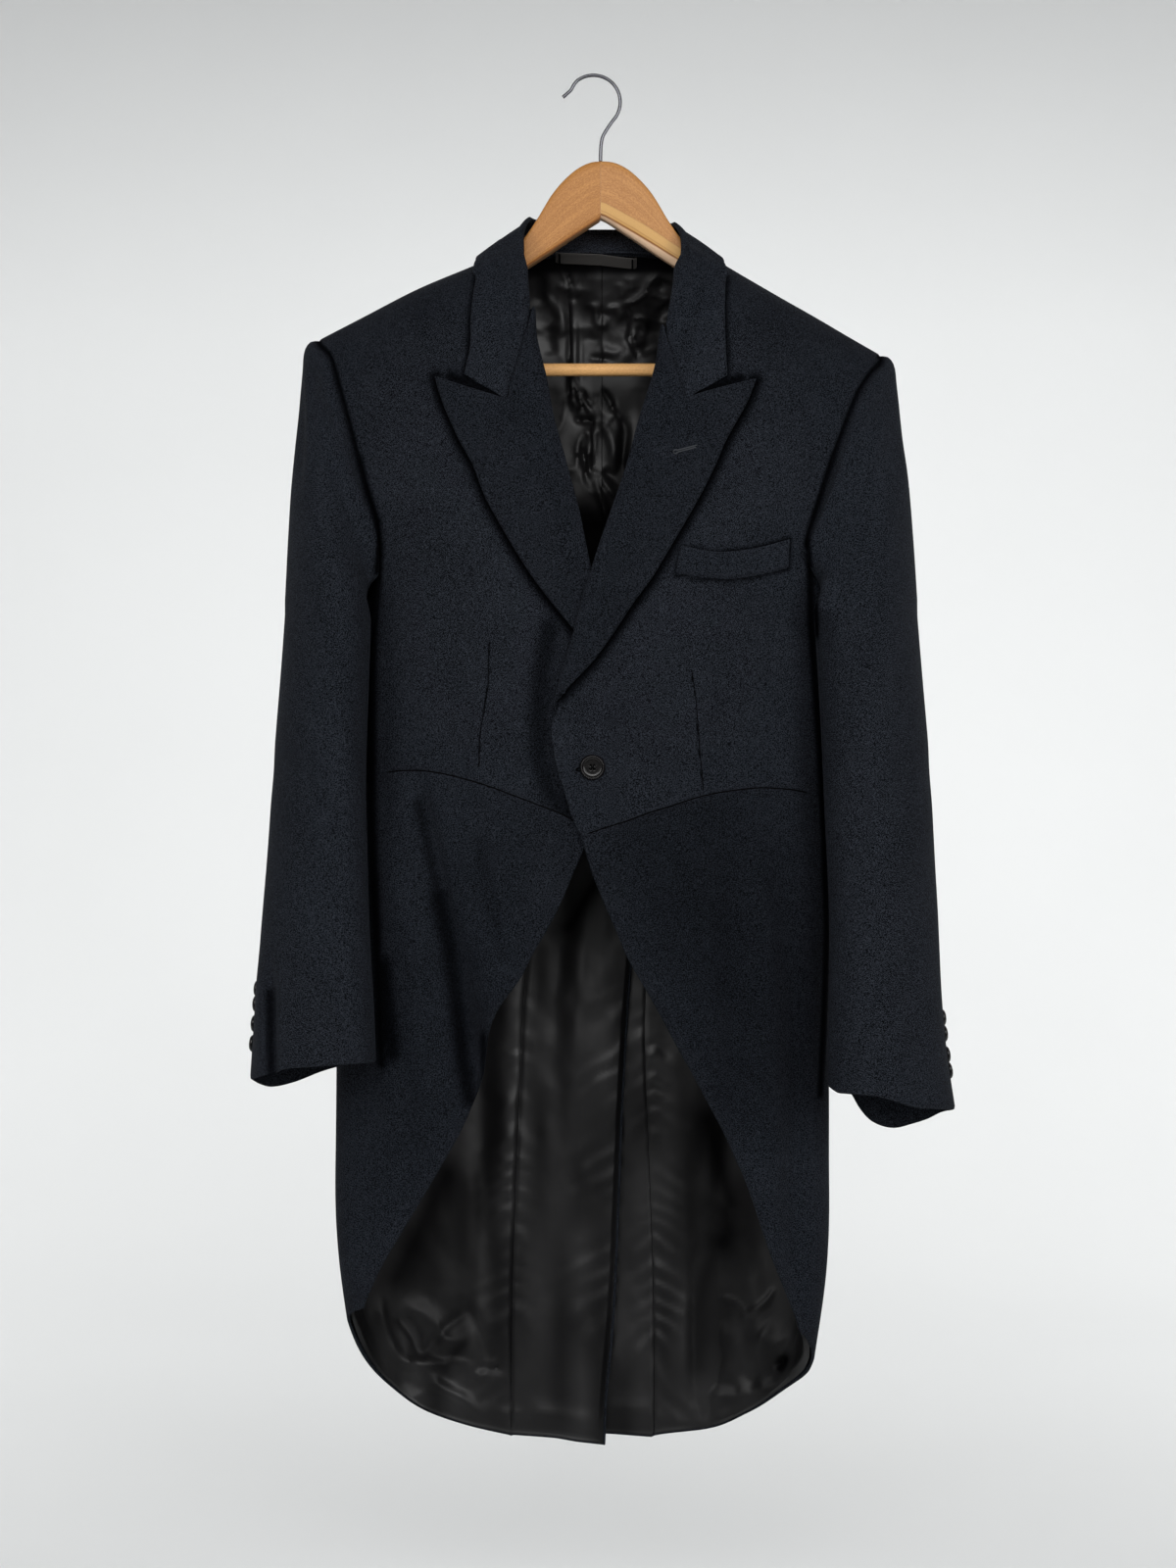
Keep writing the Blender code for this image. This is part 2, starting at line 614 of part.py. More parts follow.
def collar_half(side):
    """Sections of half the collar, from the centre back to the notch: neck seam, fold, fall edge."""
    fall_columns = 5
    fold = np.stack([COLLAR_FOLD["x"] * side, COLLAR_FOLD["y"], COLLAR_FOLD["z"]], -1)
    seam_x, seam_z, seam_face = np.array(COLLAR_SEAM, float).T
    seam_at = at(seam_x * side + 0.01, seam_z, seam_face)
    seam = body(seam_at) + facing(seam_at) * 0.8
    edge_x, edge_z, edge_face = np.array(COLLAR_FALL, float).T
    edge_at = at(edge_x * side + 0.01, edge_z, edge_face)
    edge = body(edge_at) + facing(edge_at) * (TURNED_HEIGHT + 2.7)
    out = unit(edge - fold + 1e-9)
    down = unit(seam - fold)
    away = unit(np.cross(np.gradient(fold, axis=0), (0, 0, 1.0))) * side
    near_in = fold + down * 2.6 - away * 0.9
    near_out = fold + out * 2.6 + away * 0.9
    mid = (seam + near_in) / 2
    stand = [seam, mid, near_in, fold, near_out]
    normal = facing(edge_at)
    for share in np.linspace(0, 1, fall_columns + 1)[1:]:
        bulge = 4 * share * (1 - share) * 2.5
        point = near_out + (edge - near_out) * share + normal * bulge
        stand.append(clear_of_body(point, TURNED_HEIGHT + 2.7))
    neck_part = np.stack(stand, 1)

    roll = drawn(ROLL_EDGE[side])[:4]
    beside_gorge = (side * 0.7, 0.9)
    gorge_start = drawn(GORGE[side])[0] + beside_gorge
    roll = line(np.concatenate([roll[roll[:, 1] > gorge_start[1] + 4], gorge_start[None]]), 4)
    edge_line = line(drawn(COLLAR_EDGE[side]), 4)
    away_small = np.array([3.0, 1.6, 0.2, 0.2, 1.6])
    heights = np.array([-2.0, -1.9, -0.6, 1.1, 2.6] + [TURNED_HEIGHT + 1.0] * fall_columns)
    curl = np.stack([beside(roll, distance, side) for distance in away_small], 1)
    flat = beside(roll, ROLL["away"][-1], side)[:, None]
    share = np.linspace(0, 1, fall_columns)[None, :, None]
    fall = flat * (1 - share) + edge_line[:, None] * share
    gorge = line(drawn(GORGE[side]), 4)[1:]
    fall[-1, 1:] = np.concatenate([gorge, drawn(NOTCH[side])[:1]]) + beside_gorge
    front_part = np.concatenate([curl, fall], 1)
    front_part = raised(front_part, np.broadcast_to(heights, front_part.shape[:2]), -1)
    return np.concatenate([neck_part, front_part])


def make_collar():
    """One piece folded at its crease: a stand up from the neck seam and a fall over it."""
    left, right = collar_half(1), collar_half(-1)
    outer = hang(np.concatenate([right[:0:-1], left]).transpose(1, 0, 2))
    make_wall("collar", outer, outer - grid_normals(outer) * (CLOTH - 0.3))


def body_reach(y, z):
    """Half width of the hanging body at that depth and height."""
    depth = np.where(y < 0, level("front", z), level("back", z))
    share = np.clip(np.abs(y) / depth, 0, 1)
    return np.where(share < 1, level("half_width", z) * (1 - share ** FULLNESS) ** (1 / FULLNESS), 0)


def sleeve_ring(angle, z, side):
    """Points of the sleeve tube at those angles and heights: 0 outside, a quarter turn to the front."""
    sizes = SLEEVE[side]
    outer, inner, centre, depth = (smooth(z, sizes["z"], sizes[name])
                                   for name in ("outer", "inner", "centre", "depth"))
    nearer = (EYE_DISTANCE + centre) / EYE_DISTANCE
    outer = side * EYE_X + (outer - side * EYE_X) * nearer
    inner = side * EYE_X + (inner - side * EYE_X) * nearer
    middle, half = (outer + inner) / 2, (outer - inner) / 2
    across_half = np.sqrt(half ** 2 - SLEEVE_TURN ** 2)
    x = middle + across_half * np.cos(angle) - SLEEVE_TURN * np.sin(angle)
    y = centre - depth * np.sin(angle)
    lean, _ = sway(x, z)
    room = body_reach(y, z) + side * lean + SLEEVE_CLEARANCE
    return np.stack([side * np.maximum(x, room), y, z], -1)


def sleeve_grid(side):
    """Whole sleeve: from the armhole it leaves along the cloth, turns down and runs to the cuff."""
    cut = armhole(side)
    loop = np.concatenate([cut[0], cut[1][1:], cut[2][1:-1]])
    points, normals = hang(body(loop)), facing(loop)
    along = unit(np.roll(points, -1, 0) - np.roll(points, 1, 0))
    onward = unit(np.cross(normals, along)) * side
    middle = (points.max(0) + points.min(0)) / 2
    reach = (points.max(0) - points.min(0)) / 2
    angle = np.arctan2(-(points[:, 1] - middle[1]) / reach[1], (points[:, 2] - middle[2]) / reach[2])
    angle = np.mod(angle, 2 * math.pi)
    under = 0.5 - 0.5 * np.cos(angle)
    leaving = unit(onward * (1 - under)[:, None] + np.array([side * 1.0, 0, 0]) * under[:, None])
    start = points + onward * 0.8
    outer, front, inner, back = CUFF[side]

    def cuff_height(turned):
        return ((outer + inner) / 2 + (outer - inner) / 2 * np.cos(turned)
                + (front - back) / 2 * np.sin(turned) + ((front + back) - (outer + inner)) / 4
                * (1 - np.cos(2 * turned)))

    rings = []
    first = -440 + 10 * np.cos(angle)
    for share in (0, 0.1, 0.25, 0.42, 0.6, 0.8, 1.0):
        turned = angle + SLEEVE_TWIST * ease(share)
        z = first + (cuff_height(turned) - first) * share
        rings.append(sleeve_ring(turned, z, side))
    head = []
    span = np.linalg.norm(rings[0] - start, axis=1, keepdims=True)
    arrive = unit(rings[1] - rings[0]) * span * 1.2
    leave = leaving * span * (0.35 + 0.3 * under)[:, None]
    for t in (0, 0.07, 0.18, 0.36, 0.6, 0.8):
        head.append((2 * t ** 3 - 3 * t ** 2 + 1) * start + (t ** 3 - 2 * t ** 2 + t) * leave
                    + (3 * t ** 2 - 2 * t ** 3) * rings[0] + (t ** 3 - t ** 2) * arrive)
    grid = np.stack(head + rings)
    return grid, normals, angle


def make_sleeve(side_name, side):
    """Top sleeve and under sleeve, split along two columns of the tube."""
    grid, first_normals, angle = sleeve_grid(side)
    closed = np.concatenate([grid[:, -1:], grid, grid[:, :1]], 1)
    normals = np.cross(np.gradient(closed, axis=1), np.gradient(closed, axis=0))[:, 1:-1]
    normals = unit(normals) * side
    normals *= np.sign((normals * (grid - grid.mean(1, keepdims=True))).sum((1, 2), keepdims=True))
    normals[0] = first_normals
    normals[1] = unit(normals[1] + first_normals)
    count = grid.shape[1]
    fore = int(np.argmin(np.abs(angle - math.radians(150))))
    hind = int(np.argmin(np.abs(angle - math.radians(308))))
    columns = {
        "top_sleeve_": np.arange(hind - count, fore + 1),
        "under_sleeve_": np.arange(fore, hind + 1),
    }
    for name, chosen in columns.items():
        outer, inner = grid[:, chosen % count], (grid - normals * CLOTH)[:, chosen % count]
        wall_normals = normals[:, chosen % count]
        gaps = (0, 0, SEAM / 2, SEAM / 2)
        outer, inner = trimmed(outer, wall_normals, gaps), trimmed(inner, wall_normals, gaps)
        make_wall(name + side_name, outer, inner)
    return grid, normals, angle


def make_button(name, centre, normal, radius, segments=12):
    """A turned button with a raised rim, lying on the cloth."""
    profile = ((0.0, 0.0), (0.80, 0.0), (1.0, 0.10), (1.0, 0.24), (0.90, 0.34), (0.74, 0.24), (0.0, 0.2))
    normal = unit(np.asarray(normal, float))
    u = unit(np.cross(normal, (0.0, 0.3, 1.0)))
    w = np.cross(normal, u)
    turn = np.linspace(0, 2 * math.pi, segments, endpoint=False)
    circle = np.cos(turn)[:, None] * u + np.sin(turn)[:, None] * w
    base = centre + normal * LAYER
    rings = [base + circle * radius * share + normal * radius * height
             for share, height in profile[1:-1]]
    points = np.concatenate([base[None]] + rings + [(base + normal * radius * profile[-1][1])[None]])
    number = 1 + np.arange(segments * len(rings)).reshape(len(rings), segments)
    after = np.roll(number, -1, 1)
    faces = np.stack([number[:-1], after[:-1], after[1:], number[1:]], -1).reshape(-1, 4).tolist()
    faces += [[0, b, a] for a, b in zip(number[0], after[0])]
    faces += [[len(points) - 1, a, b] for a, b in zip(number[-1], after[-1])]
    make_object(name, points, [[int(i) for i in face] for face in faces], "horn")


def make_sleeve_buttons(side_name, side, grid, normals, angle):
    """Four buttons up from the cuff, just behind the sleeve's outer edge."""
    hind = int(np.argmin(np.abs(angle - math.radians(322))))
    run = grid[-4:, hind]
    facing_out = normals[-2, hind]
    up = unit(run[-2] - run[-1])
    for index in range(4):
        centre = run[-1] + up * (30 + 14.6 * index)
        share = np.clip((centre[2] - run[-1, 2]) / (run[-2, 2] - run[-1, 2]), 0, 1)
        on_cloth = run[-1] + (run[-2] - run[-1]) * share
        centre = on_cloth + up * ((centre - on_cloth) @ up)
        make_button(f"cuff_button_{side_name}_{index + 1}", centre + facing_out * 0.2, facing_out,
                    SLEEVE_BUTTON_RADIUS, 10)


def make_welt():
    """The breast pocket's welt, on the left forepart."""
    bottom, top = line(drawn(WELT_BOTTOM), 7), line(drawn(WELT_TOP), 7)
    places = patch(bottom, top, line(np.stack([bottom[0], top[0]]), 3),
                   line(np.stack([bottom[-1], top[-1]]), 3))
    make_panel("breast_welt", places, 1, overlap_lift(places) + LAYER + 1.8, 1.6, (0, 0, 0, 0))


def make_hang_loop():
    """Tape sewn inside the back neck, under the collar."""
    low = past_centre(across(((-35, -147), (30, -150)), 1, 1), 1)
    high = past_centre(across(((-35, -140.5), (30, -143.5)), 1, 1), 1)
    places = patch(line(low, 7), line(high, 7), line(np.stack([low[0], high[0]]), 2),
                   line(np.stack([low[-1], high[-1]]), 2))
    under = -CLOTH - LINING_GAP - SATIN - 1.4
    make_panel("hang_loop", places[:, ::-1], 1, under, 0.9, (0, 0, 0, 0), "tape")


def make_hanger():
    """Two wooden halves that meet at a mitre, with a rounded section along the arm."""
    turn = np.linspace(0, 2 * math.pi, 12, endpoint=False) + math.pi / 12
    square = (np.abs(np.cos(turn)) ** 4 + np.abs(np.sin(turn)) ** 4) ** 0.25
    wide, tall = np.cos(turn) / square, np.sin(turn) / square
    for side, name in ((1, "hanger_left"), (-1, "hanger_right")):
        top = np.stack([HANGER["top_x"], HANGER["top_z"]], -1)
        bottom = np.stack([HANGER["bottom_x"], HANGER["bottom_z"]], -1)
        shrink = np.ones(len(top))
        middle, half = (top + bottom) / 2, (top - bottom) / 2
        outline = middle[:, None] + half[:, None] * tall[None, :, None] * shrink[:, None, None]
        depth = np.broadcast_to(HANGER_THICK * wide, outline.shape[:2])
        start = MITRE * side + SEAM / 2
        x = np.maximum(outline[..., 0], start)
        x[0] = start
        points = hang(np.stack([side * x, depth, outline[..., 1]], -1))
        make_loft(name, points, "wood")


def make_bar():
    """Round trouser bar between the two ends of the hanger."""
    turn = np.linspace(0, 2 * math.pi, 12, endpoint=False)
    ring = np.stack([np.zeros(12), np.cos(turn) * BAR_RADIUS, np.sin(turn) * BAR_RADIUS + BAR_HEIGHT], -1)
    ends = [ring + (x, 0, 0) for x in (-BAR_REACH, BAR_REACH)]
    make_loft("trouser_bar", np.stack(ends), "wood")


def make_hook():
    """Steel wire: a small kink at the tip, the round hook, and an easy bend into the stem."""
    arc = np.radians(np.linspace(145, -42, 15))
    round_part = np.stack([np.cos(arc), np.sin(arc)], -1) * HOOK_RADIUS + HOOK_CENTRE
    tip = np.array([(-32.0, -16.5), (-30.6, -14.0), (-28.2, -11.2)])
    stem = np.array([(3.6, -43.2), (1.4, -48.5), (0.2, -55.0), (-0.2, -62.0), (-0.2, -69.0)])
    path = np.concatenate([tip, round_part, stem])
    along = unit(np.gradient(path, axis=0))
    square = np.stack([-along[:, 1], along[:, 0]], -1)
    turn = np.linspace(0, 2 * math.pi, 6, endpoint=False)
    x = path[:, None, 0] + square[:, None, 0] * np.cos(turn) * WIRE_RADIUS
    z = path[:, None, 1] + square[:, None, 1] * np.cos(turn) * WIRE_RADIUS
    y = np.broadcast_to(np.sin(turn) * WIRE_RADIUS, x.shape)
    make_loft("hanger_hook", np.stack([x, y, z], -1), "steel")


def main():
    for old in list(bpy.data.objects):
        bpy.data.objects.remove(old)
    for side_name, side in (("left", 1), ("right", -1)):
        cut = seams(side)
        make_forepart("forepart_" + side_name, side, cut)
        make_side_body("side_body_" + side_name, side, cut)
        make_back(side_name, side, cut)
        make_skirt(side_name, side, cut)
        make_lapel("lapel_" + side_name, side)
        grid, normals, angle = make_sleeve(side_name, side)
        make_sleeve_buttons(side_name, side, grid, normals, angle)
        waist_back = across(((59, -596),), side, 1)
        make_button("waist_button_" + side_name, hang(body(waist_back))[0], facing(waist_back)[0],
                    BUTTON_RADIUS)
    make_collar()
    make_welt()
    make_hang_loop()
    button_at = drawn(((-8, -563),))
    lift = overlap_lift(button_at)[:, None]
    make_button("front_button", hang(body(button_at) + facing(button_at) * lift)[0],
                facing(button_at)[0], BUTTON_RADIUS, 16)
    make_hanger()
    make_bar()
    make_hook()


main()
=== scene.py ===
"""Looks of a morning coat on its wooden hanger.

Every cut piece is a thin sheet worked out from one smooth body surface, with its creases, seams and
rolls. Lengths are millimetres until a mesh is made; the tables are those of the coat's solids. A point
of cloth is named by its place: q, the girth from the front centre, and v, the height, which runs on
over the shoulder ridge and down the back.
"""
import math

import bpy
import numpy as np
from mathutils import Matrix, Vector


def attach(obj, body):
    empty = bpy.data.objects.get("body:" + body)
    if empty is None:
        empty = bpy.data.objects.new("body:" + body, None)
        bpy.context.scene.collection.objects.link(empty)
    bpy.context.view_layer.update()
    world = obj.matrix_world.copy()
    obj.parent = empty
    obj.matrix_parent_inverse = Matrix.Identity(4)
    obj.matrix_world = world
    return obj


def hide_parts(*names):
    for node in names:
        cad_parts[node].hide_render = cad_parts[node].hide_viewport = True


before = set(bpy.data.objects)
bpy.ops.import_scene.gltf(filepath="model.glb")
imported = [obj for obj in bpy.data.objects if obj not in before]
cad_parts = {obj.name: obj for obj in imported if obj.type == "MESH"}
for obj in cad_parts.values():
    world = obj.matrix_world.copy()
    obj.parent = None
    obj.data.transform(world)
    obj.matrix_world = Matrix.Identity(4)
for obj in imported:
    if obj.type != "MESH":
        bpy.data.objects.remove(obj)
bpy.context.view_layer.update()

MM = 0.001
COAT_SHIFT = 7.2        # the coat's centre, right of the inside top of the hook
CLOTH = 2.0             # wall of a wool panel
TURNED_CLOTH = 1.7      # wall of a lapel or the collar
WELT_CLOTH = 1.4        # wall of the pocket's welt
TAPE_CLOTH = 0.7
SATIN = 0.7             # wall of the lining
LINING_GAP = 1.3        # between the wool and the satin, before its creases
LAYER = 0.3             # gap between two layers that lie on each other
OVERLAP_LIFT = 6.4      # how far the left front rides over the right front and its lapel
UNDERLAP_DROP = 6.0     # how far the vent's underlap lies inside the left back
VENT_SPREAD = 6.0       # how far the left back stands off over the vent
FULLNESS = 2.8          # how square a level section of the body is
GIRTH_RADIUS = 180.0    # girth millimetres for one radian around the body
ROUND = 90.0            # height in which front and back curve over to the shoulder ridge
RIDGE_ARC = ROUND * (math.pi / 2 - 1)
SEAM_BEHIND = 12.0      # shoulder seam, behind the ridge
LEAN = 16.0             # how far the lower half hangs to the wearer's right
TILT = 0.033            # how much lower the left shoulder sits, for each millimetre outwards
WAIST_FILL = 10.0       # how much further out the right waist lies, against the sleeve
EYE_X, EYE_Z, EYE_DISTANCE = -11.6, -576.8, 1900.0   # outlines are drawn as seen from here
HALF_VIEW = 640.0       # half the height seen at the hanger

FINE = 4                # grid lines here for each one of the solids, along edges that two panels share
# Grid lines of the pieces, by rows and columns.
GRID = {"forepart": (130, 84), "side_body": (56, 40), "back": (150, 48), "skirt": (100, 118),
        "welt": (26, 60), "lapel": (120, 76), "collar": (58, 200)}
# The same by spans of (start, end, how many) from 0 to 1, finest where the piece shows or rolls.
SPANS = {
    "lining_back": (((0, 0.004, 4), (0.004, 0.44, 124), (0.44, 0.68, 14), (0.68, 0.995, 138),
                     (0.995, 1, 4)),
                    ((0, 0.012, 4), (0.012, 0.4, 50), (0.4, 0.985, 28), (0.985, 1, 4))),
    "lining_skirt": (((0, 0.006, 4), (0.006, 0.62, 112), (0.62, 1, 26)),
                     ((0, 0.006, 4), (0.006, 0.45, 26), (0.45, 0.7, 32), (0.7, 0.99, 62), (0.99, 1, 4))),
    "sleeve": ((0, 0.034, 6), (0.034, 0.975, 96), (0.975, 1, 5)),
}
SLEEVE_COLUMNS = 1.7    # grid lines round a sleeve, for each one of its armhole


def table(names, *rows):
    """Columns by name, one row for each level or point."""
    return dict(zip(names.split(), np.array(rows, float).T))


# Level sections of the body: half width, and depth of front and back, from the hem up.
BODY = table(
    "z half_width front back",
    (-1130, 174, 46, 54),
    (-1050, 187, 50, 57),
    (-970, 198, 54, 60),
    (-900, 201, 57, 60),
    (-800, 200, 61, 59),
    (-700, 196, 64, 56),
    (-640, 190, 65, 51),
    (-580, 186, 64, 48),
    (-500, 187, 67, 54),
    (-430, 189, 70, 59),
    (-400, 195, 70, 60),
    (-372, 208, 70, 61),
    (-332, 237, 68, 60),
    (-290, 252, 66, 60),
    (-222, 262, 62, 58),
)
SHOULDER = table(
    "x z",
    (0, -128), (60, -135), (80, -143), (104, -155.5), (132, -170), (160, -184.5),
    (188, -199), (212, -211.5), (232, -222.5), (262, -240),
)

# The armhole from the shoulder seam down the front, by x and z; then under the arm and up the back
# by angle around the body and z. The back is drawn for the right shoulder's tip.
ARMHOLE_FRONT = ((227, -229), (217, -240), (206, -262), (196, -288), (188, -312), (181, -335),
                 (175, -358), (171, -382))
ARMHOLE_UNDER = ((60, -410), (75, -421), (92, -427), (108, -420), (120, -402), (126, -374))
ARMHOLE_BACK = ((196, -330), (201, -305), (208, -278), (217, -251), (226, -233))
SHOULDER_TIP = {1: 226.0, -1: 231.0}
ARMHOLE_SHIFT = {1: ((-240, -3), (-262, -5), (-312, -5.5), (-345, -6.5), (-382, -9)),
                 -1: ((-240, 1), (-262, 5), (-304, 8.5), (-341, 10.5), (-368, 9.5), (-382, 8))}
NECK_POINT = 79.5
SIDE_SEAM = ((60, -410), (62, -460), (64, -510), (67, -583))
BACK_SEAM = ((196, -330), (176, -352), (150, -385), (122, -425), (98, -470), (78, -520), (64, -560),
             (57, -592))
TAIL_SEAM = ((57, -592), (53, -660), (51, -740), (56, -900), (60, -1122.5))

# Outlines as drawn from the front, for the wearer's left (x > 0) and right.
ROLL_EDGE = {
    1: ((59, -154), (56, -177), (52, -198), (46, -222), (40, -245), (30, -277), (19, -317), (8, -350),
        (-4, -385), (-14, -417), (-23, -449), (-32, -481), (-41, -514)),
    -1: ((-61, -154), (-59, -177), (-56, -201), (-50, -225), (-45, -245), (-39, -277), (-28, -317),
         (-19, -351), (-12, -385), (-5, -417), (2, -449), (11, -481), (20, -514)),
}
GORGE = {
    1: ((50.4, -203.2), (53.6, -216.8), (57.8, -232), (63.2, -249.6), (69, -262)),
    -1: ((-57.8, -188), (-59.6, -199.2), (-63.2, -213.6), (-68.6, -232), (-78, -263)),
}
LAPEL_TOP = {
    1: ((69, -262), (96, -254), (125, -247)),
    -1: ((-78, -263), (-108, -254), (-136, -245)),
}
LAPEL_EDGE = {
    1: ((125, -247), (118, -265), (100, -298), (90, -321), (71, -357), (52, -389), (40, -409),
        (24, -431), (8, -455), (-8, -477), (-24, -494), (-34, -505)),
    -1: ((-136, -245), (-130, -265), (-116, -297), (-105, -317), (-92, -349), (-76, -377), (-60, -403),
         (-44, -425), (-26, -447), (-12, -466), (4, -488), (14, -504)),
}
COLLAR_EDGE = {
    1: ((100, -165), (99, -193), (100, -217), (101, -244)),
    -1: ((-102, -165), (-106, -193), (-107.5, -225), (-111.5, -243)),
}
NOTCH = {
    1: ((101, -244), (85, -253), (70, -260.5)),
    -1: ((-112, -243), (-95, -253), (-79, -261.5)),
}
FRONT_EDGE = {
    1: ((-41, -516), (-42, -529), (-40, -545), (-36, -565), (-30, -585), (-24, -605), (-17, -619)),
    -1: ((20, -516), (22, -529), (19, -546), (14, -565), (6, -586), (-2, -605), (-9, -616)),
}
WAIST = {
    1: ((-17, -619), (4, -612), (20, -607), (36, -601), (52, -596), (84, -586), (116, -581),
        (136, -580), (156, -581.5), (169, -584)),
    -1: ((-9, -616), (-32, -602), (-52, -594), (-76, -585), (-92, -579), (-108, -574), (-132, -568),
         (-148, -566), (-166, -566), (-184, -568)),
}
CUTAWAY = {
    1: ((-17, -619), (-8, -649), (0, -669), (12, -697), (22, -721), (32, -738), (52, -773), (68, -803),
        (84, -833), (100, -861), (116, -897), (128, -933), (136, -957), (148, -985), (158, -1009),
        (163, -1025)),
    -1: ((-9, -616), (-24, -649), (-32, -669), (-44, -693), (-56, -713), (-68, -737), (-80, -753),
         (-89, -767), (-94, -780), (-97, -797), (-100, -818), (-107, -840), (-117, -862), (-132, -889),
         (-144, -909),
         (-156, -929), (-168, -949), (-180, -969), (-190, -990), (-196, -1005)),
}
HEM_SIDE = {1: ((78, -1036), (96, -1049)), -1: ((-82, -1020), (-100, -1038))}
HEM_BACK = {
    1: ((152, -1069), (120, -1089), (92, -1101), (43, -1109)),
    -1: ((-176, -1066), (-148, -1086), (-116, -1098), (-76, -1107)),
}
TAIL_HEM = {
    1: ((-16, -1107), (43, -1109)),
    -1: ((2, -1114), (-36, -1110), (-76, -1107)),
}
VENT_TOP = -606.0
# Free edge of the underlap past the centre back, by x and z.
UNDERLAP = ((0, -606), (18, -622), (35, -650), (37, -700), (37, -775), (33, -860), (30, -940),
            (25, -1040), (20, -1090))
WELT_TOP = ((64, -383), (92, -388), (116, -386), (132, -383), (153, -377))
WELT_BOTTOM = ((60, -406), (84, -409), (100, -410), (120, -408), (152, -401))

# How a lapel or collar rolls at its fold: distance from the fold and height over the panel below.
ROLL = table("away height", (3.0, -2.0), (1.3, -1.8), (0.2, -0.6), (0.2, 1.1), (1.4, 2.3), (3.8, 2.9),
             (8.0, 2.6))
TURNED_HEIGHT = LAYER + CLOTH
PANEL_STARTS = 4.3      # a front panel's edge lies this far inside the fold
LAPEL_LIFT = 3.4
COLLAR_LIFT = 2.6
COLLAR_RISE = {1: 0.0, -1: 4.5}         # how much higher the fold stands at that side's shoulder
COLLAR_DRAWN_IN = {1: 8.5, -1: 4.0}     # how much nearer the neck the fall ends on that shoulder

# The collar from the centre back round to the front: fold, neck seam and fall edge.
COLLAR_FOLD = table(
    "x y z",
    (0, 31, -117), (24, 29.5, -117), (43, 22, -117.2), (55, 11, -118), (60, 0, -120.5),
    (62.5, -11, -127), (63.8, -22, -138), (63.5, -31.5, -149),
)
COLLAR_SEAM = ((0, -136, 1), (24, -136.4, 1), (47, -138.8, 1), (66, -140.6, 1), (77, -142.6, -1),
               (75.5, -144.2, -1), (71.5, -147.5, -1), (68, -153.5, -1))
COLLAR_FALL = ((0, -162, 1), (34, -163, 1), (66, -162, 1), (91, -156.5, 1), (104, -156.2, -1),
               (104.5, -158.5, -1), (105, -162.5, -1), (104.5, -170, -1))

# The sleeves as drawn from the front: outer and inner edge, with centre and half depth of the tube.
SLEEVE = {
    1: table("z outer inner centre depth",
             (-830, 289, 182.5, -72, 44), (-790, 283, 182.5, -71, 43), (-740, 278, 183.5, -66, 43),
             (-660, 274.5, 183.4, -58, 45), (-580, 270.2, 179.6, -50, 48), (-500, 264, 175.6, -42, 51),
             (-440, 258.5, 171.5, -34, 56)),
    -1: table("z outer inner centre depth",
              (-830, 290, 183.5, -72, 44), (-790, 287.3, 183.9, -71, 43), (-740, 283.1, 185.7, -66, 43),
              (-660, 277.2, 189.8, -58, 45), (-580, 271.4, 191.6, -50, 48),
              (-500, 265.4, 189.5, -42, 51), (-440, 260.5, 187, -34, 56)),
}
# The cuff's edge as drawn: share of the width from the inner to the outer side, front and back height.
CUFF = {
    1: table("share front back",
             (0, -821.6, -821.6), (0.06, -825.6, -823), (0.12, -828.6, -827), (0.19, -829.3, -840.8),
             (0.25, -829.8, -848.8), (0.34, -830.4, -854.4), (0.46, -831.4, -856.8), (0.6, -835.4, -853.6),
             (0.75, -840.6, -849.2), (0.87, -841.4, -844), (1, -842, -842)),
    -1: table("share front back",
              (0, -803.2, -803.2), (0.18, -804.6, -805.6), (0.35, -805.8, -810.4), (0.58, -807.6, -819.2),
              (0.79, -809.4, -823.2), (0.9, -813.4, -820.8), (1, -816.8, -816.8)),
}
SLEEVE_TURN = 12.0       # how far a sleeve's front turns towards the body
SLEEVE_TWIST = math.radians(24)      # turn of the seams from the armhole to the cuff
SLEEVE_CLEARANCE = 4.0   # room between a sleeve and the body
FORE_SEAM, HIND_SEAM, BUTTON_LINE = 150, 308, 311    # degrees round the sleeve: 0 outside, 90 in front
FIRST_BUTTON, BUTTON_STEP = 30, 14.6                 # up from the cuff's edge
SLEEVE_BUTTON_RADIUS, BUTTON_RADIUS = 7.2, 10.0
FRONT_BUTTON, WAIST_BUTTON = (-8, -563), (59, -596)

HANGER_THICK = 7.0       # half thickness
HANGER = table(
    "top_x top_z bottom_x bottom_z",
    (0, -69.6, 0, -116), (9, -70.6, 8, -121), (19, -75, 17, -127), (29, -83, 27, -133.5),
    (40, -95.5, 38, -141), (53.8, -118, 58.8, -154.5), (62, -130, 68, -160), (72, -141.5, 79, -166),
    (84, -150.5, 92, -173), (104, -160.5, 112, -184), (132, -175, 138, -198), (160, -189.3, 164, -212),
    (183, -201.5, 185.2, -224), (187, -203.6, 185.8, -252), (199, -211, 198, -255),
)
MITRE = -1.3             # where the two halves meet
UNDERSIDE_HIGHLIGHT_STRIP = (2.8, 0.073)   # height of the viewer's right half's underside, painted pale as a highlight, and its growth outwards
INLAY = (13.0, 0.09)        # height of its inlaid strip
FLOOR_Z, WALL_Y, SWEEP = -1.32, 3.0, 1.7         # in metres, as the lamps are
BAR_HEIGHT, BAR_RADIUS, BAR_REACH = -238.8, 5.2, 184.9
WIRE_RADIUS = 1.4
HOOK_RADIUS = 21.9
HOOK_CENTRE = (-COAT_SHIFT, -20.2)


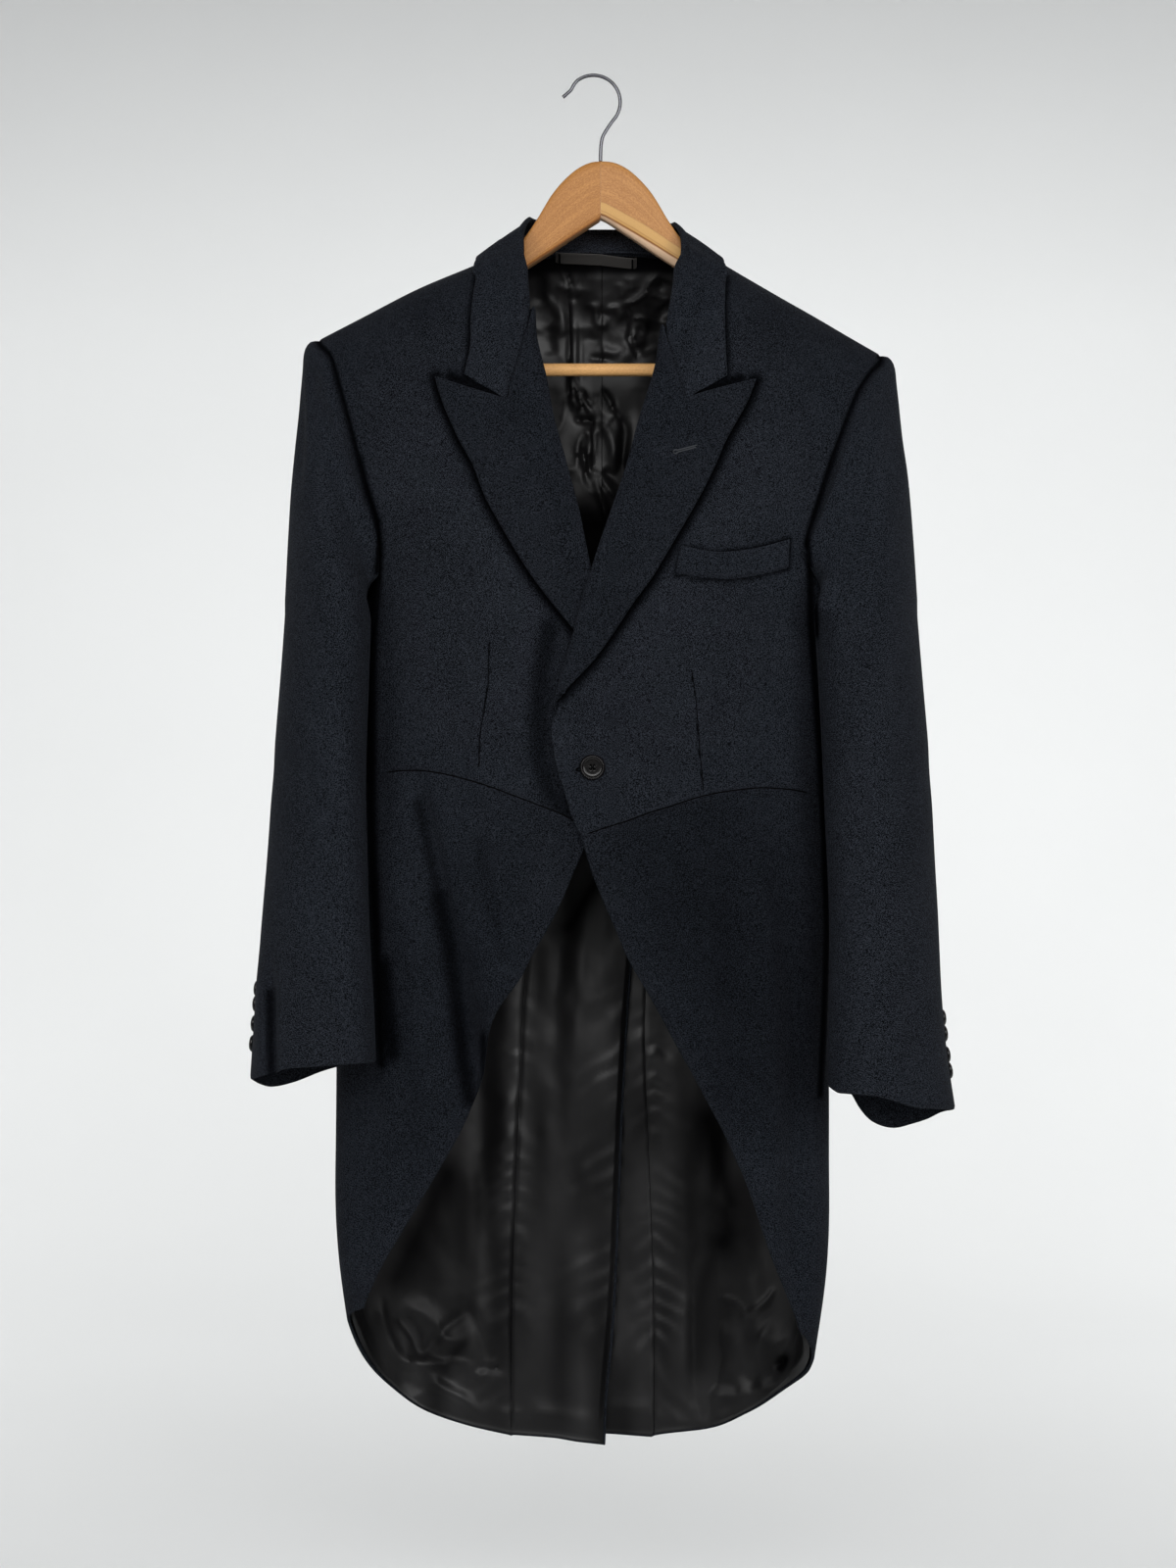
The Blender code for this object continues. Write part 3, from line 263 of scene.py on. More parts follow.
def smooth(x, xs, ys):
    """A cubic through the points, level at each turning point so that it never overshoots."""
    step = np.diff(xs)
    rise = np.diff(ys) / step
    same_way = rise[:-1] * rise[1:] > 0
    slope = np.concatenate((rise[:1], np.where(same_way, (rise[:-1] + rise[1:]) / 2, 0), rise[-1:]))
    x = np.clip(x, xs[0], xs[-1])
    i = np.clip(np.searchsorted(xs, x, side="right") - 1, 0, len(xs) - 2)
    t = (x - xs[i]) / step[i]
    start, gain = ys[i], ys[i + 1] - ys[i]
    m0, m1 = slope[i] * step[i], slope[i + 1] * step[i]
    return start + t * (m0 + t * (3 * gain - 2 * m0 - m1 + t * (m0 + m1 - 2 * gain)))


def ease(t):
    """0 up to 0, 1 from 1 on, and a soft step between."""
    t = np.clip(t, 0, 1)
    return t * t * (3 - 2 * t)


def unit(vectors):
    """The same directions with a length of 1."""
    return vectors / np.linalg.norm(vectors, axis=-1, keepdims=True)


def level(name, v):
    """A size of the body's level section at that height."""
    return smooth(v, BODY["z"], BODY[name])


def ridge(x):
    """Height of the shoulder ridge."""
    return smooth(np.abs(x), SHOULDER["x"], SHOULDER["z"])


def body(place):
    """The body surface at (q, v): a superellipse at each level, rounded over to the shoulder ridge."""
    q, v = place[..., 0], place[..., 1]
    s, c = np.sin(q / GIRTH_RADIUS), np.cos(q / GIRTH_RADIUS)
    size = (np.abs(s) ** FULLNESS + np.abs(c) ** FULLNESS) ** (1 / FULLNESS)
    x = level("half_width", v) * s / size
    turn = np.clip((v - ridge(x)) / ROUND + 1, 0, None)
    z = np.where(turn > 0, ridge(x) - ROUND + ROUND * np.sin(turn), v)
    way = -c / size * np.cos(turn)
    y = way * np.where(way < 0, level("front", v), level("back", v))
    return np.stack([x, y, z], -1)


def facing(place):
    """Outward unit normals of the body surface."""
    step = 0.5
    along = body(place + (step, 0)) - body(place - (step, 0))
    up = body(place + (0, step)) - body(place - (0, step))
    return unit(np.cross(along, up))


def girth(x, v, face):
    """q of a point with that x, on the front (-1) or the back (1)."""
    share = np.clip(np.abs(x) / level("half_width", v), 0, 0.9995)
    angle = np.arctan2(share, (1 - share ** FULLNESS) ** (1 / FULLNESS))
    angle = np.where(np.asarray(face) > 0, math.pi - angle, angle)
    return np.copysign(angle, x) * GIRTH_RADIUS


def at(x, z, face):
    """(q, v) of the point of the front or the back with that x and z."""
    x, z = np.asarray(x, float), np.asarray(z, float)
    up = np.clip((z - ridge(x)) / ROUND + 1, 0, 1)
    v = np.where(up > 0, ridge(x) - ROUND + ROUND * np.arcsin(up), z)
    return np.stack([girth(x, v, face), v], -1)


def sway(x, z):
    """How the coat hangs: its lower half leans to one side, the right waist fills out against the
    sleeve, and the left shoulder sits lower."""
    lean = -LEAN * ease((-z - 560) / 240)
    lean = lean - WAIST_FILL * ease(-x / 150) * ease((-z - 400) / 90) * ease((z + 700) / 80)
    tilt = -TILT * x * ease((np.abs(x) - 60) / 100)
    return lean, tilt


def hang(points):
    """Points of the upright body moved to where the coat hangs."""
    lean, tilt = sway(points[..., 0], points[..., 2])
    return points + np.stack([lean, np.zeros_like(lean), tilt], -1)


def drawn(points, face=-1):
    """(q, v) of points drawn from the front, moved back from the drawing to the surface itself."""
    u, w = np.array(points, float).T
    y = np.full(len(u), 55.0 * face)
    for _ in range(8):
        nearer = (EYE_DISTANCE + y) / EYE_DISTANCE
        x, z = EYE_X + (u - EYE_X) * nearer, EYE_Z + (w - EYE_Z) * nearer
        x0, z0 = x, z
        for _ in range(4):
            lean, tilt = sway(x0, z0)
            x0, z0 = x - lean, z - tilt
        place = at(x0, z0, face)
        y = body(place)[..., 1]
    return place


def past_centre(places, side):
    """The same places counted round from the piece's own side, where it runs past the centre back."""
    turn = 2 * math.pi * GIRTH_RADIUS * side
    return places + np.where(places[:, :1] * side < 0, (turn, 0), (0, 0))


def around(points, side):
    """(q, v) of points given by their angle around the body and their height."""
    angle, z = np.array(points, float).T
    return np.stack([side * np.radians(angle) * GIRTH_RADIUS, z], -1)


def across(points, side, face):
    """(q, v) of points given by x and z on the front or the back."""
    x, z = np.array(points, float).T
    return at(side * x, z, face)


def on_shoulder(x, behind, side, face):
    """(q, v) of a point of the shoulder, so far behind its ridge along the cloth."""
    v = ridge(x) + RIDGE_ARC - face * behind
    return np.stack([girth(side * x, v, face), v], -1)


def running(points):
    """Length along a line of points, up to each of them."""
    return np.concatenate(([0], np.cumsum(np.linalg.norm(np.diff(points, axis=0), axis=1))))


def read(at_run, run, points, between=np.interp):
    """Points of a line at those lengths along it."""
    return np.stack([between(at_run, run, column) for column in points.T], -1)


def line(points, count):
    """A smooth curve through the points, cut into evenly spaced ones."""
    points = np.asarray(points, float)
    run = running(points)
    dense = read(np.linspace(0, run[-1], 400), run, points, smooth)
    run = running(dense)
    return read(np.linspace(0, run[-1], count), run, dense)


def join(*lines):
    """Lines end to end, each starting where the last one ends."""
    return np.concatenate([lines[0]] + [part[1:] for part in lines[1:]])


def patch(bottom, top, left, right):
    """Grid of places between four edges (a Coons patch): rows run from bottom to top."""
    u = np.linspace(0, 1, len(bottom))[None, :, None]
    w = np.linspace(0, 1, len(left))[:, None, None]
    ruled = (1 - w) * bottom + w * top + (1 - u) * left[:, None] + u * right[:, None]
    corners = ((1 - w) * (1 - u) * bottom[0] + (1 - w) * u * bottom[-1]
               + w * (1 - u) * top[0] + w * u * top[-1])
    return ruled - corners


def trimmed(points, normals, gaps):
    """Pulls the four edges of a grid inwards by a gap each: bottom, top, left, right. The cloth beside
    an edge is drawn along with it."""
    points = points.copy()
    for gap, distance, axis, edge, inner in zip(gaps, edge_distances(points), (0, 0, 1, 1), (0, -1, 0, -1),
                                                (1, -2, 1, -2)):
        rows = np.moveaxis(points, axis, 0)
        inward = rows[inner] - rows[edge]
        along = unit(np.gradient(rows[edge], axis=0))
        normal = np.moveaxis(normals, axis, 0)[edge]
        square = unit(np.cross(normal, along))
        square *= np.sign((square * inward).sum(-1, keepdims=True))
        share = np.clip(1 - np.moveaxis(distance, axis, 0)[..., None] / (4 * gap), 0, 1)
        rows += square * gap * share
    return points


def grid_normals(points):
    """Unit normals of a grid of points, from its own steps along rows and columns."""
    return unit(np.cross(np.gradient(points, axis=1), np.gradient(points, axis=0)))


def stops(count, size):
    """Places from 0 to 1 for grid lines: even inside, and close together near both edges."""
    near = np.array([0.0, 0.6, 1.5, 3.0]) / size
    return np.concatenate([near, np.linspace(near[-1], 1 - near[-1], count)[1:-1], 1 - near[::-1]])


def lengths(points):
    """Mean length of a grid along its columns and along its rows."""
    down = np.linalg.norm(np.diff(points, axis=0), axis=-1).sum(0).mean()
    across_rows = np.linalg.norm(np.diff(points, axis=1), axis=-1).sum(1).mean()
    return down, across_rows


def resampled(grid, at_rows, at_columns):
    """A grid read at other lines, straight between its own ones, first by rows and then by columns."""
    for places in (at_rows, at_columns):
        spot = places * (len(grid) - 1)
        low = np.clip(spot.astype(int), 0, len(grid) - 2)
        share = (spot - low)[:, None, None]
        grid = (grid[low] * (1 - share) + grid[low + 1] * share).transpose(1, 0, 2)
    return grid


def finer(places, rows, columns):
    """The same patch of places on more grid lines, closest together along its edges."""
    down, over = lengths(body(places))
    return resampled(places, stops(rows, down), stops(columns, over))


def curved(grid, rows, columns):
    """A coarse grid of points made fine by a limited cubic along its mean chord, both ways."""
    for count in (rows, columns):
        chord = np.linalg.norm(np.diff(grid, axis=0), axis=-1).mean(1)
        run = np.concatenate(([0], np.cumsum(chord)))
        fine = np.interp(np.linspace(0, 1, count), np.linspace(0, 1, len(run)), run)
        flat = grid.reshape(len(grid), -1)
        flat = read(fine, run, flat, smooth)
        grid = flat.reshape(count, grid.shape[1], 3).transpose(1, 0, 2)
    return grid


def edge_distances(points):
    """Distance of each grid point from the bottom, top, left and right edges, along the grid."""
    down = np.linalg.norm(np.diff(points, axis=0), axis=-1)
    down = np.concatenate([np.zeros((1, points.shape[1])), np.cumsum(down, 0)])
    over = np.linalg.norm(np.diff(points, axis=1), axis=-1)
    over = np.concatenate([np.zeros((points.shape[0], 1)), np.cumsum(over, 1)], 1)
    return down, down[-1:] - down, over, over[:, -1:] - over


def bands(u, w, rows):
    """Sum of soft ridges and troughs: each follows a bowed line, is bell-shaped across it and fades out
    at both ends."""
    total = np.zeros_like(u)
    for x0, z0, x1, z1, bow, width, height in zip(*rows.values()):
        dx, dz = x1 - x0, z1 - z0
        length = math.hypot(dx, dz)
        along = ((u - x0) * dx + (w - z0) * dz) / length ** 2
        bent = bow * 4 * along * (1 - along)
        off = (-(u - x0) * dz + (w - z0) * dx) / length - np.where((along > 0) & (along < 1), bent, 0)
        fade = ease((along + 0.2) / 0.4) * ease((1.2 - along) / 0.4)
        total += height * np.exp(-(off / width) ** 2) * fade
    return total


# Creases of the wool as drawn from the front, in millimetres: a trough has a height below 0.
FRONT_FOLDS = table(
    "x0 z0 x1 z1 bow width height",
    (-30, -440, -60, -600, 6, 22, -4.0), (-70, -560, -110, -720, 8, 26, -3.0),
    (-152, -578, -129, -690, 2, 8, -8.0), (-127, -690, -109, -830, 2, 12, -11.0),
    (-112, -760, -97, -850, 0, 10, -5.0), (-162, -660, -138, -880, 0, 12, 5.0),
    (-96, -700, -84, -800, 2, 12, 6.0), (-176, -640, -172, -880, 0, 10, 3.0),
    (60, -640, 66, -860, 4, 14, -3.6), (84, -650, 92, -900, -2, 11, 2.6),
    (108, -650, 118, -960, -4, 9, -4.2),
    (130, -640, 138, -960, 3, 9, 3.4), (152, -640, 158, -1000, 3, 10, -4.0),
    (170, -430, 176, -620, 0, 12, -2.0),
    (-176, -430, -180, -600, 0, 14, -2.0), (30, -640, 62, -760, -4, 16, 2.0),
    (150, -250, 178, -330, 6, 16, -2.2), (-160, -250, -184, -330, -6, 16, -2.2),
    (96, -480, 90, -590, 2, 14, -1.4), (-96, -480, -92, -580, 2, 14, -1.4),
    (-22, -500, -40, -640, 4, 12, -3.0), (26, -470, 40, -560, -3, 13, -1.8),
)
BACK_FOLDS = table(
    "x0 z0 x1 z1 bow width height",
    (-120, -230, -150, -330, 8, 20, -3.0), (122, -226, 150, -326, -8, 18, -3.4),
    (-60, -560, -150, -520, 6, 14, -3.0), (60, -566, 146, -536, -6, 14, -2.6),
    (-110, -640, -122, -1000, 6, 26, 4.0), (116, -650, 128, -980, -8, 24, 4.0),
    (-80, -700, -86, -1050, 3, 16, -3.0), (84, -690, 92, -1040, -3, 16, -3.2),
    (-40, -160, 44, -166, -6, 12, -1.8),
)

# Where light is lost on the wool, painted as shade in its colour: each path as drawn, its width and the
# share lost along it.
SKIRT_SHADE = {
    1: ((((127, -646), (131, -730), (135, -830)), 7.0, 0.42),
        (((75, -667), (82, -740), (92, -830)), 8.0, 0.4),
        (((70, -640), (115, -715), (140, -790)), 90.0, 0.46)),
    -1: ((((-150, -592), (-143, -624), (-134.5, -664), (-125, -712)), 5.0, 0.8),
         (((-134, -668), (-124.5, -712), (-119, -754), (-113.5, -802), (-108, -835)), 8.5, 0.93),
         (((-97, -782), (-96, -815), (-101, -848)), 4.0, 0.9),
         (((-101, -625), (-82, -717)), 9.0, 0.42),
         (((-60, -650), (-110, -740), (-160, -850)), 90.0, 0.25)),
}
# Painted shade on the fronts: down the slope of the shoulder; then round the pocket's welt, and below the
# overlap on the other side.
FRONT_SHADE = {
    1: ((((60, -190), (150, -215), (225, -255)), 70.0, 0.17),
        (WELT_BOTTOM, 2.6, 0.9),
        (WELT_TOP, 2.6, 0.95),
        ((WELT_BOTTOM[0], WELT_TOP[0]), 2.2, 0.8),
        ((WELT_BOTTOM[-1], WELT_TOP[-1]), 2.2, 0.8)),
    -1: ((((-60, -190), (-150, -215), (-225, -255)), 70.0, 0.17),
         (((-43, -449), (-49, -484), (-52, -519), (-51, -554), (-43, -582), (-31, -600)), 9.5, 0.72)),
}
ARMHOLE_SHADE = {1: 2.7, -1: 4.0}       # width of the painted shade line along the lower armhole
LAPEL_SHADE = 0.22                      # share of light lost all over a lapel, as painted shade
# Painted shade on the body beside the sleeves' inner edges, which lies in the dark.
SLEEVE_SHADE = {
    1: ((((169.5, -390), (170.5, -448), (177.5, -545), (181.5, -617), (183.5, -697), (181, -770),
          (178, -830)), 3.6, 1.0),),
    -1: ((((-184, -362), (-187, -395), (-189, -424)), 4.6, 1.0),
         (((-184, -400), (-187.5, -448), (-189, -520), (-188.5, -600), (-186.5, -660), (-183, -735),
           (-180, -806)), 5.2, 1.0),
         (((-180, -725), (-176, -765), (-172, -796)), 10.0, 0.95)),
}

DARTS = {
    1: ((72, -481), (76, -509), (79, -549), (82, -582)),
    -1: ((-92, -457), (-93, -489), (-96, -513), (-100, -537), (-101, -562)),
}


def drawn_at(points):
    """Where points of the hanging coat are drawn, as seen from the front."""
    nearer = EYE_DISTANCE / (EYE_DISTANCE + points[..., 1])
    return EYE_X + (points[..., 0] - EYE_X) * nearer, EYE_Z + (points[..., 2] - EYE_Z) * nearer


def relief(places):
    """Height of the creases over the body surface: those of the front and of the back, blended round
    the sides, with a slow unevenness."""
    points = hang(body(places))
    front = ease((np.cos(places[..., 0] / GIRTH_RADIUS) + 0.25) / 0.5)
    u, w = drawn_at(points)
    x, z = points[..., 0], points[..., 2]
    slow = (np.sin(x / 31 + z / 57) * np.sin(z / 43 - x / 77 + 1) + 0.6 * np.sin(x / 17 - z / 83 + 2)) * 0.5
    return front * bands(u, w, FRONT_FOLDS) + (1 - front) * bands(x, z, BACK_FOLDS) + slow


def surface(places, rise=0.0):
    """Points of hung cloth over places of the body, raised along its normals."""
    rise = np.asarray(rise + relief(places))[..., None]
    return hang(body(places) + facing(places) * rise)


def add_piece(name, points, faces, material, slot, uv, node, sharp=50, **values):
    """One finished piece in metres, facing outwards, with its cloth map and values for its finish."""
    label = f"{node}_{slot}" if node else name
    mesh = bpy.data.meshes.new(label)
    moved = (np.asarray(points).reshape(-1, 3) + (COAT_SHIFT, 0, 0)) * MM
    a, b, c, d = moved[np.asarray(faces)].transpose(1, 0, 2)
    signed = (a * (np.cross(b, c) + np.cross(c, d))).sum()
    faces = np.asarray(faces)[:, ::-1] if signed < 0 else np.asarray(faces)
    mesh.from_pydata(moved.tolist(), [], faces.tolist())
    layer = mesh.uv_layers.new(name="cloth")
    corner = np.zeros(len(mesh.loops), np.int32)
    mesh.loops.foreach_get("vertex_index", corner)
    layer.data.foreach_set("uv", (np.asarray(uv).reshape(-1, 2)[corner] * MM).astype(np.float32).ravel())
    for key, value in values.items():
        attribute = mesh.attributes.new(key, "FLOAT", "POINT")
        attribute.data.foreach_set("value", np.asarray(value, np.float32).ravel())
    mesh.materials.append(material)
    mesh.shade_smooth()
    mesh.set_sharp_from_angle(angle=math.radians(sharp))
    piece = bpy.data.objects.new(label, mesh)
    bpy.context.scene.collection.objects.link(piece)
    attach(piece, "root")
    if node:
        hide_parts(node)
    return piece


def grid_faces(rows, columns):
    """Four-sided faces between the points of a grid."""
    number = np.arange(rows * columns).reshape(rows, columns)
    return np.stack([number[:-1, :-1], number[:-1, 1:], number[1:, 1:], number[1:, :-1]], -1).reshape(-1, 4)


def ring_faces(rows, turns):
    """Four-sided faces around a stack of rings, closed at both ends."""
    number = np.arange(rows * turns).reshape(rows, turns)
    after = np.roll(number, -1, 1)
    faces = [np.stack([number[:-1], after[:-1], after[1:], number[1:]], -1).reshape(-1, 4)]
    half = turns // 2
    for ring in (number[0], number[-1][::-1]):
        back = ring[::-1]
        faces.append(np.stack([ring[:half - 1], ring[1:half], back[1:half], back[:half - 1]], -1))
    return np.concatenate(faces)


def add_shell(name, outer, normals, thickness, material, slot, hollow=0.0, dart=None):
    """Closed sheet: the grid that shows, the same grid behind it, and a rounded rim between them. Its
    values say how far each point is from a dart, and how much painted shade darkens its colour."""
    rows, columns = outer.shape[:2]
    many = rows * columns
    inner = outer - normals * thickness
    number = np.arange(many).reshape(rows, columns)
    front = grid_faces(rows, columns)
    rim = np.concatenate([number[0], number[1:, -1], number[-1, -2::-1], number[-2:0:-1, 0]])
    i, j = np.divmod(rim, columns)
    inside = outer[np.clip(i, 1, rows - 2), np.clip(j, 1, columns - 2)]
    middle = (outer[i, j] + inner[i, j]) / 2 + unit(outer[i, j] - inside) * thickness * 0.3
    ring = 2 * many + np.arange(len(rim))
    after, ring_after = np.roll(rim, -1), np.roll(ring, -1)
    sides = [np.stack([after, rim, ring, ring_after], -1),
             np.stack([ring_after, ring, rim + many, after + many], -1)]
    faces = np.concatenate([front, front[:, ::-1] + many] + sides)
    points = np.concatenate([outer.reshape(-1, 3), inner.reshape(-1, 3), middle])
    down, _, over, _ = edge_distances(outer)
    mapped = np.stack([over, down], -1).reshape(-1, 2)
    uv = np.concatenate([mapped, mapped, mapped[rim]])
    far, depth_and_painted_shade = np.full(len(points), 40.0), np.zeros(len(points))
    if dart is not None:
        far[:many] = dart.ravel()
    depth_and_painted_shade[:many] = np.broadcast_to(hollow, (rows, columns)).ravel()
    depth_and_painted_shade[2 * many:] = depth_and_painted_shade[rim]
    piece = add_piece(name, points, faces, material, slot, uv, name, dart_mm=far, hollow=depth_and_painted_shade)
    spanned = np.cross(outer[1:, 1:] - outer[:-1, :-1], outer[1:, :-1] - outer[:-1, 1:])
    cloth = np.linalg.norm(spanned, axis=-1).sum() / 2
    width, length = over.max(), down.max()
    size = (max(width, cloth / length) * MM, max(length * MM, 0.01))
    area = min(cloth * MM * MM, size[0] * size[1])


def pressed(outer, normals, open_edges, depth=0.9, reach=2.4):
    """Sinks the edges of a panel: a sewn edge dips into its seam, an open one is rounded over."""
    names = ("bottom", "top", "left", "right")
    for name, distance in zip(names, edge_distances(outer)):
        depth_and_painted_shade = depth * (0.45 if name in open_edges else 1.0)
        outer = outer - normals * (depth_and_painted_shade * (1 - ease(distance / reach)))[..., None]
    return outer


def distance_to(points, path):
    """Least distance of drawn points from a path of straight pieces."""
    u, w = drawn_at(points)
    best = np.full(u.shape, 99.0)
    for (x0, z0), (x1, z1) in zip(path, path[1:]):
        dx, dz = x1 - x0, z1 - z0
        t = np.clip(((u - x0) * dx + (w - z0) * dz) / (dx * dx + dz * dz), 0, 1)
        best = np.minimum(best, np.hypot(u - x0 - dx * t, w - z0 - dz * t))
    return best


def count(solid_lines):
    """Grid lines here for so many of the solids."""
    return (solid_lines - 1) * FINE + 1


def armhole(side):
    """The armhole's three stretches, from the shoulder seam down the front and up the back."""
    tip = np.array([SHOULDER_TIP[side]])
    tip_front, tip_back = on_shoulder(tip, SEAM_BEHIND, side, -1), on_shoulder(tip, SEAM_BEHIND, side, 1)
    over = on_shoulder(tip + 0.5, 0, side, -1)
    heights, shifts = np.array(ARMHOLE_SHIFT[side][::-1], float).T
    ahead = np.array(ARMHOLE_FRONT, float)
    ahead[:, 0] += np.interp(ahead[:, 1], heights, shifts)
    behind = np.array(ARMHOLE_BACK, float)
    behind[:, 0] += (tip - SHOULDER_TIP[-1]) * ease((behind[:, 1] + 330) / 90)
    under = around(ARMHOLE_UNDER, side)
    corner = across(ARMHOLE_BACK[:1], side, 1)
    front = np.concatenate([tip_front, over, across(ahead, side, -1), under[:1]])
    below = np.concatenate([under, corner])
    back = np.concatenate([across(behind, side, 1), tip_back])
    return line(front, count(12)), line(below, count(7)), line(back, count(7))


def overlap_lift(places, side=1):
    """Lift of the left front where it rides over the right one."""
    q, v = places[..., 0], places[..., 1]
    lift = OVERLAP_LIFT * ease((130 - q) / 80) * ease((-330 - v) / 65) * ease((v + 770) / 140)
    return lift if side > 0 else np.zeros_like(q)


def underlap_drop(places):
    """How far the right back lies inside, where it runs on under the left one."""
    x = body(places)[..., 0]
    return -UNDERLAP_DROP * ease((x + 26) / 25) * ease((-places[..., 1] - 556) / 30)


def beside(edge, distance, side):
    """A line of places moved sideways, away from the front opening."""
    along = unit(np.gradient(edge, axis=0))
    away = np.stack([-along[:, 1], along[:, 0]], -1)
    return edge + away * np.sign(away[:, :1]) * side * distance


def seams(side):
    """The edges that two panels share, as lines of places with the same points for both."""
    arm_front, arm_below, arm_back = armhole(side)
    side_seam = line(around(SIDE_SEAM[::-1], side), count(9))
    side_seam[-1] = arm_front[-1]
    back_seam = line(across(BACK_SEAM, side, 1), count(9))
    back_seam[0] = arm_below[-1]
    waist = drawn(WAIST[side])
    waist[-1] = side_seam[0]
    waist_side = np.stack([side_seam[0], around(((100, -584),), side)[0], around(((130, -589),), side)[0],
                           back_seam[-1]])
    return {
        "arm_front": arm_front, "arm_below": arm_below, "arm_back": arm_back,
        "side_seam": side_seam, "back_seam": back_seam,
        "waist_front": line(waist, count(11)), "waist_side": line(waist_side, count(7)),
        "tail_seam": line(across(TAIL_SEAM, side, 1), count(11)),
    }


def painted_shade_beside(points, paths, crisp=3.0):
    """How much painted shade darkens points beside drawn edges: each path comes with its width and depth.
    """
    depth_and_painted_shade = np.zeros(points.shape[:2])
    for path, width, depth in paths:
        depth_and_painted_shade = np.maximum(depth_and_painted_shade, depth * np.exp(-(distance_to(points, path) / width) ** crisp))
    return depth_and_painted_shade


def add_panel(name, places, rise=0.0, open_edges=(), dart=None, edges=()):
    """A wool panel laid on the body surface, with its seams pressed in. Painted shade darkens its front
    only.
    """
    outer = surface(places, rise)
    normals = grid_normals(outer)
    normals *= np.sign((normals * facing(places)).sum())
    outer = pressed(outer, normals, open_edges)
    near = None if dart is None else distance_to(outer, dart)
    if near is not None:
        outer = outer - normals * (0.9 * np.exp(-(near / 3.0) ** 2))[..., None]
    hollow = painted_shade_beside(outer, edges) * ease(0.7 - normals[..., 1])
    add_shell(name, outer, normals, CLOTH, WOOL, "wool", hollow, near)


def add_forepart(name, side, cut):
    """Front panel: front edge, roll line and neck on one side, side seam and armhole on the other."""
    front = np.concatenate([drawn(FRONT_EDGE[side])[::-1], drawn(ROLL_EDGE[side])[:0:-1]])
    front[0] = cut["waist_front"][0]
    starts = PANEL_STARTS * ease((front[:, 1] + 534) / 14)[:, None]
    front = beside(front, starts, side)
    neck = np.concatenate([
        across(((65.5, -166), (69.5, -154), (74, -147.5)), side, -1),
        on_shoulder(np.array([NECK_POINT]), SEAM_BEHIND, side, -1),
    ])
    right = join(cut["side_seam"], cut["arm_front"][::-1])
    left = line(np.concatenate([front, neck]), len(right))
    shoulder = np.linspace(NECK_POINT, SHOULDER_TIP[side], len(cut["waist_front"]))
    top = on_shoulder(shoulder, SEAM_BEHIND, side, -1)
    places = finer(patch(cut["waist_front"], top, left, right), *GRID["forepart"])
    armhole_path = np.stack(drawn_at(hang(body(cut["arm_front"][::4]))), -1)
    wedge = (NOTCH[side][-1], np.mean([NOTCH[side][0], LAPEL_TOP[side][-1]], 0))
    deep_part = [(u, w) for u, w in armhole_path if w < -300]
    # Painted shade on the forepart: dark lines along the armhole, in the wedge under the notch, beside the
    # collar's and lapel's edges, beside the sleeve and on the front.
    edges = ((armhole_path, 2.1, 0.95), (deep_part, ARMHOLE_SHADE[side], 1.0), (wedge, 5.5, 1.0),
             (COLLAR_EDGE[side], 4.6, 0.9), (LAPEL_EDGE[side], 7.0, 1.0),
             *SLEEVE_SHADE[side], *FRONT_SHADE[side])
    add_panel(name, places, overlap_lift(places, side), ("left",), DARTS[side], edges)


def add_side_body(name, side, cut):
    """Panel under the arm, from the side seam round to the curved back seam."""
    places = patch(cut["waist_side"], cut["arm_below"], cut["side_seam"], cut["back_seam"][::-1])
    add_panel(name, finer(places, *GRID["side_body"]), edges=SLEEVE_SHADE[side])


def back_places(side, cut):
    """Back panel in one length: centre back, neck and shoulder, armhole and seams, hem."""
    hem = line(past_centre(drawn(TAIL_HEM[side], 1), side), count(7))
    tail = cut["tail_seam"][::-1]
    hem[-1] = tail[0]
    right = join(tail, cut["back_seam"][::-1], cut["arm_back"])
    if side > 0:
        low = np.concatenate([hem[:1], across(((0.01, -1000), (0.01, VENT_TOP)), 1, 1)])
    else:
        low = np.concatenate([hem[:1], past_centre(across(UNDERLAP[::-1], 1, 1), side)])
    high = across(((0.01, VENT_TOP + 22), (0.01, -400), (0.01, -136)), side, 1)
    rows_low = 1 + round((len(right) - 1) * 0.5)
    left = join(line(np.concatenate([low, high[:1]]), rows_low), line(high, len(right) - rows_low + 1))
    neck = np.concatenate([
        across(((0.01, -136), (24, -136.4), (47, -138.8), (66, -140.6)), side, 1),
        on_shoulder(np.array([NECK_POINT]), SEAM_BEHIND, side, 1),
    ])
    over = on_shoulder(np.linspace(NECK_POINT, SHOULDER_TIP[side], count(5)), SEAM_BEHIND, side, 1)
    return patch(hem, join(line(neck, count(3)), over), left, right)


def uneven(u, w, size, seed):
    """Smooth random heights from -1 to 1: values on a square lattice, blended by soft steps."""
    lattice = np.random.default_rng(seed).uniform(-1, 1, (64, 64))
    i, j = u / size, w / size
    i0, j0 = np.floor(i).astype(int), np.floor(j).astype(int)
    s, t = ease(i - i0), ease(j - j0)
    low = lattice[i0 % 64, j0 % 64] * (1 - s) + lattice[(i0 + 1) % 64, j0 % 64] * s
    high = lattice[i0 % 64, (j0 + 1) % 64] * (1 - s) + lattice[(i0 + 1) % 64, (j0 + 1) % 64] * s
    return low * (1 - t) + high * t


def crumpled(u, w, size, seed):
    """Heights from 0 to 1 of crushed cloth: sharp crests where a bent field of heights passes zero."""
    bent_u = u + size * 0.7 * uneven(u, w, size * 1.7, seed + 1)
    bent_w = w + size * 0.7 * uneven(u, w, size * 1.7, seed + 2)
    return (1 - np.abs(uneven(bent_u, bent_w, size, seed))) ** 2.2


